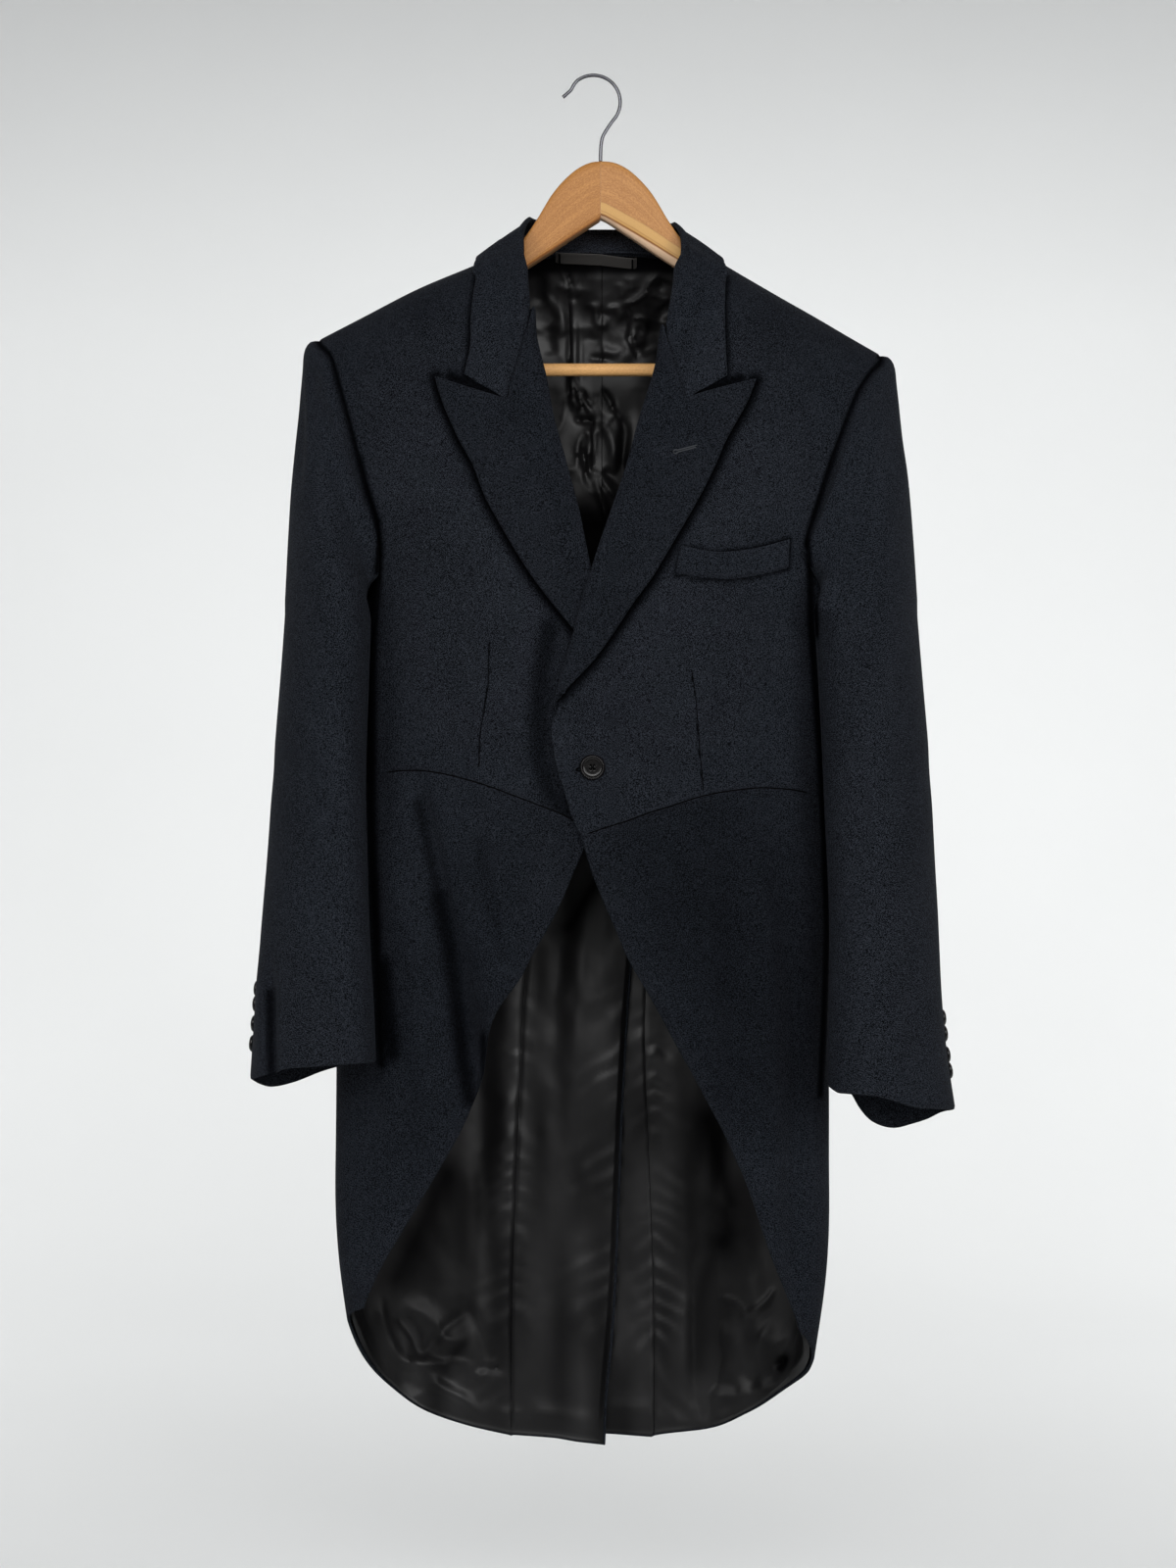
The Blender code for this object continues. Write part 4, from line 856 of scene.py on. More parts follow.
# Creases of the satin as drawn from the front through the neck and between the skirts.
SATIN_FOLDS = table(
    "x0 z0 x1 z1 bow width height",
    (-31, -152, -24, -172, 0, 1.8, -2.3), (-34, -152, -27, -172, 0, 2.5, 1.7),
    (-13, -152, -19, -170, 0, 2.1, -1.4),
    (-28.4, -176, -27.6, -262, 1, 1.5, -2.6), (-24, -184, -23, -262, 1, 3.7, 1.9),
    (-18, -204, -18, -250, 0, 2.3, -1.2), (-36, -168, -28, -172, 0, 3.4, 1.9),
    (-25, -178, -21, -181, 0, 3.4, -2.4),
    (-48, -176, -32, -206, 3, 3.7, 2), (-46, -206, -42, -226, 0, 6.9, -2.4),
    (-40, -200, -32, -210, 0, 4.6, 1.6),
    (-10, -184, -4, -196, 2, 3.7, 2.2), (-6, -196, 2, -204, -2, 3, 1.6), (2, -204, 8, -186, 2, 3.4, 2),
    (8, -186, 16, -196, 2, 3.9, 2), (-4, -191, 6, -194, 0, 3.9, -2.3), (16, -208, 20, -232, 2, 5.8, 2.4),
    (0, -222, 14, -226, -2, 4.6, 1.9), (-14, -212, -2, -216, 0, 4.6, -1.7),
    (-10, -230, 8, -231, 0, 2.8, -2.3),
    (18, -187, 22, -198, 2, 1.6, -2.2), (22, -198, 21, -214, 1, 1.4, -1.9),
    (21, -214, 30, -232, 1, 1.5, -2),
    (20, -184, 36, -172, -2, 2.2, 2.7), (36, -172, 46, -158, 2, 2.2, 2.3), (37, -172, 44, -178, -1, 2, 2.3),
    (44, -178, 54, -181, 0, 2, 1.9), (46, -172, 52, -164, 0, 4.6, -2.9), (50, -186, 56, -194, 0, 5.8, -3.2),
    (26, -196, 36, -206, 5, 2.1, 2.2), (26, -210, 34, -216, -5, 2.1, 2), (30, -204, 32, -210, 0, 3, -1.9),
    (22, -160, 24, -172, 1, 4.6, 2.3), (14, -166, 17, -178, 1, 3.4, 1.7),
    (38, -200, 34, -226, 2, 5.8, -3.6),
    (48, -190, 46, -226, 0, 5.8, -3.6), (-54, -160, -50, -182, 0, 5.8, -3.6),
    (-24, -246, -16, -270, 0, 1.5, -2.2), (-17, -256, -9, -269, 0, 1.6, -2.2),
    (-14, -264, -7, -278, 0, 3, 2.3),
    (-28, -262, -20, -272, 2, 4.6, 2.2), (-22, -280, -8, -281, 0, 2.5, -2.6),
    (0, -256, 8, -270, 1, 1.6, -2.3),
    (8, -270, 18, -286, 1, 1.6, -2.4), (-6, -266, 6, -280, 0, 4.6, 1.6), (-1, -282, 10, -312, 3, 4.6, 2.3),
    (-12, -288, -9, -310, 2, 3.2, 1.9), (19, -284, 15, -332, 0, 3.9, -4.3),
    (-16, -300, -13, -326, 0, 1.6, -1.7),
    (-12, -304, -9, -326, 0, 3, 2), (-8, -279, -8, -322, 0, 1.1, -1.9), (2, -322, 14, -330, 0, 3.4, -2.9),
    (0, -330, 10, -342, 0, 2.3, 2.2), (-6, -328, 4, -360, 0, 3.4, 2.2),
    (-184, -1000, -158, -1052, -6, 6, 3.2), (-166, -1012, -150, -1040, 4, 5.1, -4),
    (-158, -1002, -126, -1040, 6, 7.5, 3.4), (-150, -1046, -112, -1006, 3, 3.9, -3.2),
    (-164, -1048, -122, -1054, 3, 3.9, 2.7), (-148, -1052, -108, -1078, -3, 5.1, 2.9),
    (-132, -1042, -100, -1048, 4, 4.2, -2.4), (-128, -980, -112, -1052, -5, 10.5, 2.9),
    (-112, -1000, -92, -1052, 3, 5.1, -2.7), (-104, -1052, -82, -1052, 0, 2.7, -2.7),
    (-100, -1060, -88, -1046, 0, 3.3, 2.4), (-150, -1062, -96, -1092, 3, 4.5, 2.4),
    (-112, -880, -106, -1040, 6, 13, 4.2), (-96, -830, -92, -1000, -3, 8, -2.6),
    (-78, -760, -84, -1060, 3, 12, 2.4),
    (-48, -760, -44, -1090, 3, 12, 2.2), (-20, -700, -28, -1080, -3, 13, 2.2),
    (2, -820, -4, -1090, 2, 8, 1.8),
    (62, -820, 64, -1080, 2, 7, 2), (84, -840, 82, -1090, -3, 9, -4), (100, -860, 88, -1080, -4, 10, -5),
    (112, -944, 128, -1046, 6, 12, 5), (98, -996, 118, -1008, 3, 2.7, 1.9),
    (118, -1008, 142, -990, -3, 2.7, 2.1),
    (134, -1020, 150, -1034, -4, 9, 2.9), (146, -1052, 152, -1044, 0, 4, -7),
    (98, -1020, 104, -1060, 4, 9, 2.4),
    (84, -1072, 150, -1064, -6, 6, 2.4), (-60, -1080, -10, -1096, -3, 7.5, 1.8),
    (-100, -1084, -40, -1090, -3, 6, 1.9),
    (6, -1086, 60, -1096, 3, 7.5, 1.8),
)
# Ripples drawn up along the seams, slanting down and away from them.
PUCKERS = table(
    "x0 z0 x1 z1 pitch left right slant height",
    (-66, -740, -74, -1090, 18, 17, 9, 0.5, 1.5), (42, -760, 43, -1090, 17, 12, 18, 0.7, 1.7),
    (22, -740, 8, -1040, 23, 24, 1, 0.75, 1.4), (-150, -1050, -60, -1092, 17, 9, 6, 0.2, 1.6),
    (130, -1060, 60, -1096, 19, 8, 6, 0.2, 1.6), (34, -180, 44, -230, 11, 6, 6, 0.6, 1.2),
)


def satin_height(points):
    """How far satin stands off the wool: soft creases, a crumple in the neck and the tails' corners, and
    small ripples drawn up along its seams."""
    u, w = drawn_at(points)
    total = bands(u, w, SATIN_FOLDS)
    for x0, z0, x1, z1, pitch, left, right, slant, height in zip(*PUCKERS.values()):
        length = math.hypot(x1 - x0, z1 - z0)
        along = ((u - x0) * (x1 - x0) + (w - z0) * (z1 - z0)) / length
        off = (-(u - x0) * (z1 - z0) + (w - z0) * (x1 - x0)) / length
        apart = np.abs(off)
        drift = 0.9 * np.sin(along / 31) + 0.8 * np.sin(along / 13.7 + 1) + 0.5 * uneven(u, w, 21, 5)
        wave = np.sin(2 * math.pi * (along - slant * apart) / pitch + 2.2 * drift)
        inside = ease((along + 10) / 20) * ease((length + 10 - along) / 20)
        reach = np.where(off > 0, right, left)
        strong = 0.55 + 0.5 * uneven(u, w, 37, 8)
        total += height * strong * np.maximum(wave, -0.55) * np.exp(-(apart / reach) ** 1.3) * inside
    in_neck = ease((w + 420) / 40)
    low_left = np.exp(-(((u + 140) / 34) ** 2 + ((w + 1050) / 40) ** 2))
    low_right = np.exp(-(((u - 130) / 24) ** 2 + ((w + 1056) / 30) ** 2))
    total += in_neck * (2.0 * crumpled(u, w, 30, 3) + 0.3 * crumpled(u, w, 14, 31))
    total += (low_left + 0.6 * low_right) * (3.4 * crumpled(u, w, 24, 12) + 0.7 * crumpled(u, w, 11, 40))
    slow = 1.3 * uneven(u, w * 0.45, 26, 21) + 0.7 * uneven(u, w * 0.6, 11, 22)
    in_tail = ease((-w - 560) / 80)
    swell = in_tail * (4.2 + 2.6 * uneven(u, w * 0.45, 52, 77)) + 2.4 * in_neck
    near_neck_seam = ease((-w - 150) / 14)
    return np.clip(0.9 + (total + slow + swell) * near_neck_seam, 0.1, 14.0)


# Where little light reaches the satin, painted as shade: path as drawn, width and share of light lost.
SATIN_SHADE = (
    (((86, -850), (97, -890), (105, -920)), 14, 0.88), (((100, -925), (104, -944), (98, -950)), 20, 0.88),
    (((94, -950), (82, -985), (77, -1008), (78, -1052)), 10, 0.55),
    (((34, -190), (46, -222), (38, -250)), 9, 0.7), (((-52, -160), (-50, -176)), 8, 0.65),
    (((-128, -896), (-150, -944), (-168, -980)), 14, 0.72), (((-98, -880), (-106, -1010)), 6, 0.4),
    (((6, -640), (-12, -668), (-26, -694)), 10, 0.93), (((-146, -1040), (-128, -1052),
    (-112, -1032)), 5, 0.6),
    (((150, -1046), (144, -1054)), 5, 0.9), (((-26, -170), (-28, -260)), 2.5, 0.5),
    (((18, -290), (14, -330)), 5, 0.6), (((-22, -268), (-14, -282), (4, -284)), 3, 0.5),
)


def satin_shade(points):
    """How much painted shade darkens the satin: under the tape, from the bottom of the neck opening to the
    top of the skirts' opening, in the bands along the skirts' edges and, a little, all over, in streaks."""
    u, w = drawn_at(points)
    bottom = ease((-w - 318) / 44) * ease((w + 650) / 40)
    tails, in_neck = ease((-w - 600) / 60), ease((w + 480) / 20)
    overall = 0.52 * tails * ease((-w - 700) / 200) + 0.34 * in_neck
    streaks = 0.26 * uneven(u, w * 0.3, 17, 61) * tails + 0.26 * uneven(u, w * 0.7, 13, 62) * in_neck
    depth_and_painted_shade = np.maximum(np.maximum(ease((w + 168) / 12), bottom), painted_shade_beside(points, SATIN_SHADE, 1.6))
    return np.clip(1 - (1 - depth_and_painted_shade) * (1 - np.clip(overall + streaks, 0, 1)), 0, 0.97)


def add_lining(kind, side_name, places, base, gaps):
    """Satin inside a wool panel: it follows the wool and stands off it in its own creases. Its edges lie
    inside those of the wool by the gaps, of which the left one counts only below the waist."""
    rows, columns = SPANS[kind]
    places = resampled(places, uneven_stops(*rows), uneven_stops(*columns))
    normals = facing(places)
    points = surface(places, base(places) - CLOTH - LINING_GAP)
    bottom, top, left, right = gaps
    left = LAYER + (left - LAYER) * ease((-places[:, :1, 1] - 550) / 50)
    points = trimmed(points, normals, (bottom, top, left, right))
    *free_edges, from_seam = edge_distances(points)
    free_edges[2] = free_edges[2] + 7 * (1 - ease((-places[..., 1] - 550) / 50))
    height = satin_height(points) * ease(np.min(free_edges, 0) / 7 + 0.15)
    height = height * (0.75 + 0.25 * ease(from_seam / 3))
    shown = points - normals * (SATIN + height)[..., None]
    inward = grid_normals(shown)
    inward *= -np.sign((inward * normals).sum())
    add_shell(f"{kind}_{side_name}", shown, inward, SATIN, SATIN_LINING, "satin", satin_shade(shown))


def uneven_stops(*spans):
    """Places from 0 to 1 for grid lines, by spans of (start, end, how many)."""
    return np.unique(np.concatenate([np.linspace(start, end, many) for start, end, many in spans]))


def vent_spread(places):
    """How far the left back stands off where it laps over the vent."""
    x = body(places)[..., 0]
    return VENT_SPREAD * ease((64 - x) / 50) * ease((-places[..., 1] - 640) / 90)


def add_back(side_name, side, cut):
    """Back panel and its satin, whose grid is finest where it shows in the neck and between the skirts."""
    places = back_places(side, cut)
    base = underlap_drop if side < 0 else vent_spread
    fine = finer(places, *GRID["back"])
    open_edges = ("bottom",) if side > 0 else ("bottom", "left")
    add_panel("back_" + side_name, fine, base(fine), open_edges)
    add_lining("lining_back", side_name, places, base, (1.6, 3.0, 1.6, LAYER))


def add_skirt(side_name, side, cut):
    """Skirt from the waist seam down, round the side, with the cutaway edge curving into the hem."""
    top = join(cut["waist_front"], cut["waist_side"])
    right = cut["tail_seam"][::-1]
    left = drawn(CUTAWAY[side])[::-1]
    left[-1] = top[0]
    left = line(left, len(right))
    hem = np.concatenate([left[:1], around(HEM_SIDE[side], 1), drawn(HEM_BACK[side], 1)])
    hem[-1] = right[0]
    places = patch(line(hem, len(top)), top, left, right)
    fine = finer(places, *GRID["skirt"])
    add_panel("skirt_" + side_name, fine, overlap_lift(fine, side), ("bottom", "left"),
              edges=SLEEVE_SHADE[side] + SKIRT_SHADE[side])
    add_lining("lining_skirt", side_name, places, lambda at_places: overlap_lift(at_places, side),
               (1.6, 3.0, 2.0, 0.2))


def raised(places, height, side):
    """Points over the body surface, on the left side over its lift, creased as the panel below is."""
    lift = overlap_lift(places, side)
    return body(places) + facing(places) * (height + lift + relief(places))[..., None]


def at_gorge(side):
    """The roll edge and the gorge, and what the gorge crosses: how far beside the roll, how far down it."""
    roll, gorge = line(drawn(ROLL_EDGE[side]), 400), line(drawn(GORGE[side]), 60)
    run = running(roll)
    apart = np.linalg.norm(gorge[:, None] - roll, axis=-1)
    return roll, run, gorge, np.maximum.accumulate(apart.min(1)), run[apart.argmin(1)]


def roll_line(roll, run, start, end, rows):
    """Points of the roll edge between two lengths along it."""
    return read(np.linspace(start, end, rows), run, roll)


def add_lapel(name, side):
    """Turned lapel: it rolls round the front edge and lies on the forepart, and ends along the gorge."""
    rows = count(15)
    roll, run, gorge, away_there, run_there = at_gorge(side)
    turned = ROLL["height"] > 1
    starts = np.where(turned, np.interp(ROLL["away"], away_there, run_there), run_there[0])
    curl = []
    for away, start in zip(ROLL["away"], starts):
        narrowed = 0.12 + 0.88 * ease((run[-1] - np.linspace(start, run[-1], rows)) / 34)
        curl.append(beside(roll_line(roll, run, start, run[-1], rows), away * narrowed[:, None], side))
    curl = np.stack(curl, 1)[::-1]
    left = curl[:, -1]
    beyond = gorge[away_there > ROLL["away"][-1] + 1]
    top = join(line(np.concatenate([left[-1:], beyond]), 5), line(drawn(LAPEL_TOP[side]), 6))
    edge = drawn(LAPEL_EDGE[side])
    edge[0] = top[-1]
    right = line(edge, rows)[::-1]
    flat = patch(np.linspace(left[0], right[0], len(top)), top, left, right)
    heights = np.concatenate([ROLL["height"], np.full(len(top) - 1, TURNED_HEIGHT)])
    places = np.concatenate([curl, flat[:, 1:]], 1)
    outer = hang(raised(places, np.broadcast_to(heights, places.shape[:2]), side))
    outer = curved(outer, *GRID["lapel"])
    normals = grid_normals(outer)
    normals *= np.sign(-normals[..., 1].sum())
    from_end, from_gorge, _, from_edge = edge_distances(outer)
    from_free = np.minimum(from_edge, np.hypot(from_gorge, 12 * ease(1 - from_edge / 70)))
    lift = LAPEL_LIFT * ease(1 - from_free / 34) + 0.5 * np.sin(from_gorge / 23) * ease(1 - from_edge / 50)
    outer = outer + normals * (lift * ease(from_end / 60))[..., None]
    outer = pressed(outer, normals, ("top",), 0.8, 1.6)
    add_shell(name, outer, normals, TURNED_CLOTH, WOOL, "wool", LAPEL_SHADE)


def clear_of_body(points, gap):
    """Moves points out of the body surface, straight away from the middle of its rounding."""
    x, y, z = points[..., 0], points[..., 1], points[..., 2]
    low = ridge(x) - ROUND
    depth = np.where(y < 0, level("front", z), level("back", z))
    share = np.clip(np.abs(x) / level("half_width", z), 0, 0.99)
    depth = depth * (1 - share ** FULLNESS) ** (1 / FULLNESS)
    rise = np.clip(z - low, 0, None)
    reach = np.hypot(y, rise)
    surface_reach = reach / np.hypot(y / depth, rise / ROUND)
    scale = np.maximum(1, (surface_reach + gap) / np.maximum(reach, 1e-6))
    return np.stack([x, y * scale, z + rise * (scale - 1)], -1)


def collar_half(side):
    """Sections of half the collar, from the centre back to the notch: neck seam, fold, fall edge."""
    fall_columns = 9
    risen = np.array([0, 0, 0.4, 0.8, 1, 1, 0.7, 0.3]) * COLLAR_RISE[side]
    fold = np.stack([COLLAR_FOLD["x"] * side, COLLAR_FOLD["y"], COLLAR_FOLD["z"] + risen], -1)
    seam_x, seam_z, seam_face = np.array(COLLAR_SEAM, float).T
    seam_at = at(seam_x * side + 0.01, seam_z, seam_face)
    seam = body(seam_at) + facing(seam_at) * 0.8
    edge_x, edge_z, edge_face = np.array(COLLAR_FALL, float).T
    edge_x = edge_x - np.array([0, 0, 0, 0.5, 1, 1, 0.9, 0.6]) * COLLAR_DRAWN_IN[side]
    edge_at = at(edge_x * side + 0.01, edge_z, edge_face)
    over_back = TURNED_HEIGHT + 2.7
    edge = body(edge_at) + facing(edge_at) * over_back
    out = unit(edge - fold + 1e-9)
    down = unit(seam - fold)
    away = unit(np.cross(np.gradient(fold, axis=0), (0, 0, 1.0))) * side
    near_in = fold + down * 2.6 - away * 0.9
    near_out = fold + out * 2.6 + away * 0.9
    stand = [seam, (seam + near_in) / 2, near_in, fold, near_out]
    normal = facing(edge_at)
    for share in np.linspace(0, 1, fall_columns + 1)[1:]:
        bulge = 4 * share * (1 - share) * 0.8
        point = near_out + (edge - near_out) * share + normal * bulge
        stand.append(clear_of_body(point, over_back))
    neck_part = np.stack(stand, 1)

    rows = 5
    roll, run, gorge, away_there, run_there = at_gorge(side)
    above_gorge = np.array((side * 0.35, 0.45))
    aways = np.array([3.0, 1.6, 0.2, 0.2, 1.6, ROLL["away"][-1]])
    ends = np.where(np.arange(6) < 3, run_there[0], np.interp(aways, away_there, run_there))
    columns = [beside(roll_line(roll, run, 0, end, rows), away, side) for away, end in zip(aways, ends)]
    curl = np.stack(columns[:5], 1)
    edge_line = line(drawn(COLLAR_EDGE[side]), rows)
    beyond = gorge[away_there > ROLL["away"][-1] + 1]
    last = join(line(np.concatenate([columns[5][-1:], beyond]), 5), line(drawn(NOTCH[side])[::-1], 5))
    last[-1] = edge_line[-1]
    first = np.linspace(columns[5][0], edge_line[0], fall_columns)
    fall = patch(first, last, columns[5], edge_line)
    front_part = np.concatenate([curl, fall], 1)
    front_part[-1] += above_gorge
    heights = np.array([-2.0, -1.9, -0.6, 1.1, 2.6] + [TURNED_HEIGHT + 1.0] * fall_columns)
    heights = np.broadcast_to(heights, front_part.shape[:2]).copy()
    heights[-1, 5:] = TURNED_HEIGHT + 0.2
    front_part = raised(front_part, heights, 0)
    return np.concatenate([neck_part, front_part])


def add_collar():
    """One piece folded at its crease: a stand up from the neck seam and a fall over it."""
    left, right = collar_half(1), collar_half(-1)
    outer = hang(np.concatenate([right[:0:-1], left]).transpose(1, 0, 2))
    outer = curved(outer, *GRID["collar"])
    normals = grid_normals(outer)
    centre = outer.shape[1] // 2
    normals *= np.sign(normals[-1, centre, 1])
    from_fall = edge_distances(outer)[1]
    from_notch = np.minimum(*edge_distances(outer)[2:])
    lift = COLLAR_LIFT * ease(1 - from_fall / 24) * ease(1 - from_notch / 130)
    outer = outer + normals * lift[..., None]
    outer = pressed(outer, normals, ("left", "right"), 0.8, 1.6)
    add_shell("collar", outer, normals, TURNED_CLOTH, WOOL, "wool")


def body_reach(y, z):
    """Half width of the hanging body at that depth and height."""
    depth = np.where(y < 0, level("front", z), level("back", z))
    share = np.clip(np.abs(y) / depth, 0, 1)
    return np.where(share < 1, level("half_width", z) * (1 - share ** FULLNESS) ** (1 / FULLNESS), 0)


def sleeve_ring(angle, z, side):
    """Points of the sleeve tube at those angles and heights: 0 outside, a quarter turn to the front."""
    sizes = SLEEVE[side]
    outer, inner, centre, depth = (smooth(z, sizes["z"], sizes[name])
                                   for name in ("outer", "inner", "centre", "depth"))
    nearer = (EYE_DISTANCE + centre) / EYE_DISTANCE
    outer = side * EYE_X + (outer - side * EYE_X) * nearer
    inner = side * EYE_X + (inner - side * EYE_X) * nearer
    middle, half = (outer + inner) / 2, (outer - inner) / 2
    across_half = np.sqrt(half ** 2 - SLEEVE_TURN ** 2)
    x = middle + across_half * np.cos(angle) - SLEEVE_TURN * np.sin(angle)
    y = centre - depth * np.sin(angle)
    lean, _ = sway(side * x, z)
    room = body_reach(y, z) + side * lean + SLEEVE_CLEARANCE
    return np.stack([side * np.maximum(x, room), y, z], -1)


# Creases of the sleeves: from the front as drawn, and from the back by x and z.
SLEEVE_FRONT = table(
    "x0 z0 x1 z1 bow width height",
    (-250, -262, -206, -330, -8, 12, -2.4), (-246, -300, -196, -400, -6, 12, -2.0),
    (-240, -232, -243, -330, 0, 3.4, 1.6), (-247, -240, -249, -330, 0, 4, -2.0),
    (-262, -560, -210, -640, 6, 18, -2.2), (-214, -420, -222, -640, 4, 16, 1.8),
    (-271, -730, -269, -850, 0, 3.8, -5.0), (-279, -730, -278, -850, 0, 5, 1.6),
    (-240, -700, -236, -806, 2, 14, 1.8), (-222, -600, -214, -800, -3, 9, -1.8),
    (246, -262, 214, -340, 8, 12, -2.4), (240, -300, 196, -400, 6, 12, -2.0),
    (214, -420, 226, -640, -4, 16, 1.8), (262, -560, 212, -650, -6, 18, -2.2),
    (181, -408, 182, -440, 0, 10, 8.0),
    (250, -700, 262, -830, -2, 12, -1.8), (210, -690, 206, -800, 2, 12, 1.6),
)
# Paths of painted shade on the sleeves, as drawn: beside the fore part of each armhole, and along a crease
# low on the right sleeve.
SLEEVE_FORE_SHADE = {1: ((168, -378), (171, -409), (174.5, -430), (175, -458)), -1: ((-182, -372), (-184, -405))}
SLEEVE_CREASE_SHADE = ((-271, -748), (-271, -790), (-269.5, -836))
SLEEVE_BACK = table(
    "x0 z0 x1 z1 bow width height",
    (-240, -290, -206, -400, 8, 14, -2.6), (240, -290, 206, -400, -8, 14, -2.6),
    (-236, -540, -200, -600, 5, 14, -2.4), (236, -540, 200, -600, -5, 14, -2.4),
    (-230, -640, -240, -790, 3, 12, 2.0), (230, -640, 240, -800, -3, 12, 2.0),
)


def sleeve_grid(side):
    """Whole sleeve: from the armhole it leaves along the cloth, turns down and runs to the cuff."""
    cut = armhole(side)
    loop = np.concatenate([cut[0], cut[1][1:], cut[2][1:-1]])
    points, normals = hang(body(loop)), facing(loop)
    along = unit(np.roll(points, -1, 0) - np.roll(points, 1, 0))
    onward = unit(np.cross(normals, along)) * side
    middle = (points.max(0) + points.min(0)) / 2
    reach = (points.max(0) - points.min(0)) / 2
    angle = np.arctan2(-(points[:, 1] - middle[1]) / reach[1], (points[:, 2] - middle[2]) / reach[2])
    angle = np.mod(angle, 2 * math.pi)
    under = 0.5 - 0.5 * np.cos(angle)
    leaving = unit(onward * (1 - under)[:, None] + np.array([side * 1.0, 0, 0]) * under[:, None])
    start = points + onward * 0.4

    def cuff_height(turned):
        """Height of the cuff's edge at those angles, moved back from the drawing to its depth."""
        cuff, sizes = CUFF[side], SLEEVE[side]
        share = (1 + np.cos(turned)) / 2
        ahead_of_it = np.sin(turned) > 0
        height = np.where(ahead_of_it, smooth(share, cuff["share"], cuff["front"]),
                          smooth(share, cuff["share"], cuff["back"]))
        y = sizes["centre"][0] - sizes["depth"][0] * np.sin(turned)
        return EYE_Z + (height - EYE_Z) * (EYE_DISTANCE + y) / EYE_DISTANCE

    rings = []
    first = -440 + 10 * np.cos(angle)
    for share in np.concatenate([np.linspace(0, 0.985, 96), (0.993, 0.9975, 1.0)]):
        turned = angle + SLEEVE_TWIST * ease(share)
        z = first + (cuff_height(turned) - first) * share
        rings.append(sleeve_ring(turned, z, side))
    head = []
    span = np.linalg.norm(rings[0] - start, axis=1, keepdims=True)
    tangent = rings[10] - rings[0]
    arrive = unit(tangent) * span * 1.2
    leave = leaving * span * (0.35 + 0.3 * under)[:, None]
    for t in np.concatenate([(0, 0.004, 0.012), np.linspace(0.025, 0.985, 46)]):
        from_start, to_ring = 2 * t ** 3 - 3 * t ** 2 + 1, 3 * t ** 2 - 2 * t ** 3
        head.append(from_start * start + (t ** 3 - 2 * t ** 2 + t) * leave
                    + to_ring * rings[0] + (t ** 3 - t ** 2) * arrive)
    grid = np.stack(head + rings)
    closed = np.concatenate([grid[:, -1:], grid, grid[:, :1]], 1)
    out = unit(np.cross(np.gradient(closed, axis=1), np.gradient(closed, axis=0))[:, 1:-1])
    out *= np.sign((out * (grid - grid.mean(1, keepdims=True))).sum((1, 2), keepdims=True))
    out[0] = normals
    blended = 12
    for row in range(1, blended):
        out[row] = unit(out[row] * (row / blended) + normals * (1 - row / blended))
    u, w = drawn_at(grid)
    ahead = ease(0.5 - out[..., 1])
    x, z = grid[..., 0], grid[..., 2]
    height = ahead * bands(u, w, SLEEVE_FRONT) + (1 - ahead) * bands(x, z, SLEEVE_BACK)
    height += 0.5 * np.sin(z / 37 + angle * 2) * np.sin(angle + z / 91)
    from_start = edge_distances(grid)[0]
    fore_side = np.exp(-((angle - 1.9) / 0.75) ** 2)
    hind_side = np.exp(-((angle - 4.5) / 0.7) ** 2)
    full = (3.6 + 7 * fore_side + 4 * hind_side) * np.exp(-((from_start - 10) / 12) ** 2)
    grid = grid + out * (height * ease(from_start / 26) + full * ease(from_start / 7))[..., None]
    return grid, out, angle


def column_at(angle, degrees):
    """The column of the sleeve's grid nearest to that place round it."""
    return int(np.argmin(np.abs(angle - math.radians(degrees))))


def add_sleeve(side_name, side):
    """Top sleeve and under sleeve, split along two columns of the tube."""
    grid, normals, angle = sleeve_grid(side)
    total = grid.shape[1]
    fore, hind = column_at(angle, FORE_SEAM), column_at(angle, HIND_SEAM)
    for name, chosen in (("top_sleeve_", np.arange(hind - total, fore + 1)),
                         ("under_sleeve_", np.arange(fore, hind + 1))):
        part, out = grid[:, chosen % total], normals[:, chosen % total]
        width = lengths(part)[1]
        columns = stops(round(SLEEVE_COLUMNS * len(chosen)), width)
        rows = uneven_stops(*SPANS["sleeve"])
        part, out = resampled(part, rows, columns), unit(resampled(out, rows, columns))
        # Painted shade: a dark line along the armhole seam, and on the front along those paths.
        hollow = np.maximum(np.exp(-(edge_distances(part)[0] / 3.6) ** 2),
                            painted_shade_beside(part, ((SLEEVE_CREASE_SHADE, 4.2, 0.9), (SLEEVE_FORE_SHADE[side], 2.4, 1.0)))
                            * (out[..., 1] < 0))
        part = pressed(part, out, ("top",), 0.8, 2.2)
        add_shell(name + side_name, part, out, CLOTH, WOOL, "wool", hollow)
    return grid, normals, angle


def across_button(normal):
    """The button's two directions across, the second one upwards."""
    side_way = unit(np.cross(normal, (0.0, 0.3, 1.0)))
    return side_way, np.cross(side_way, normal)


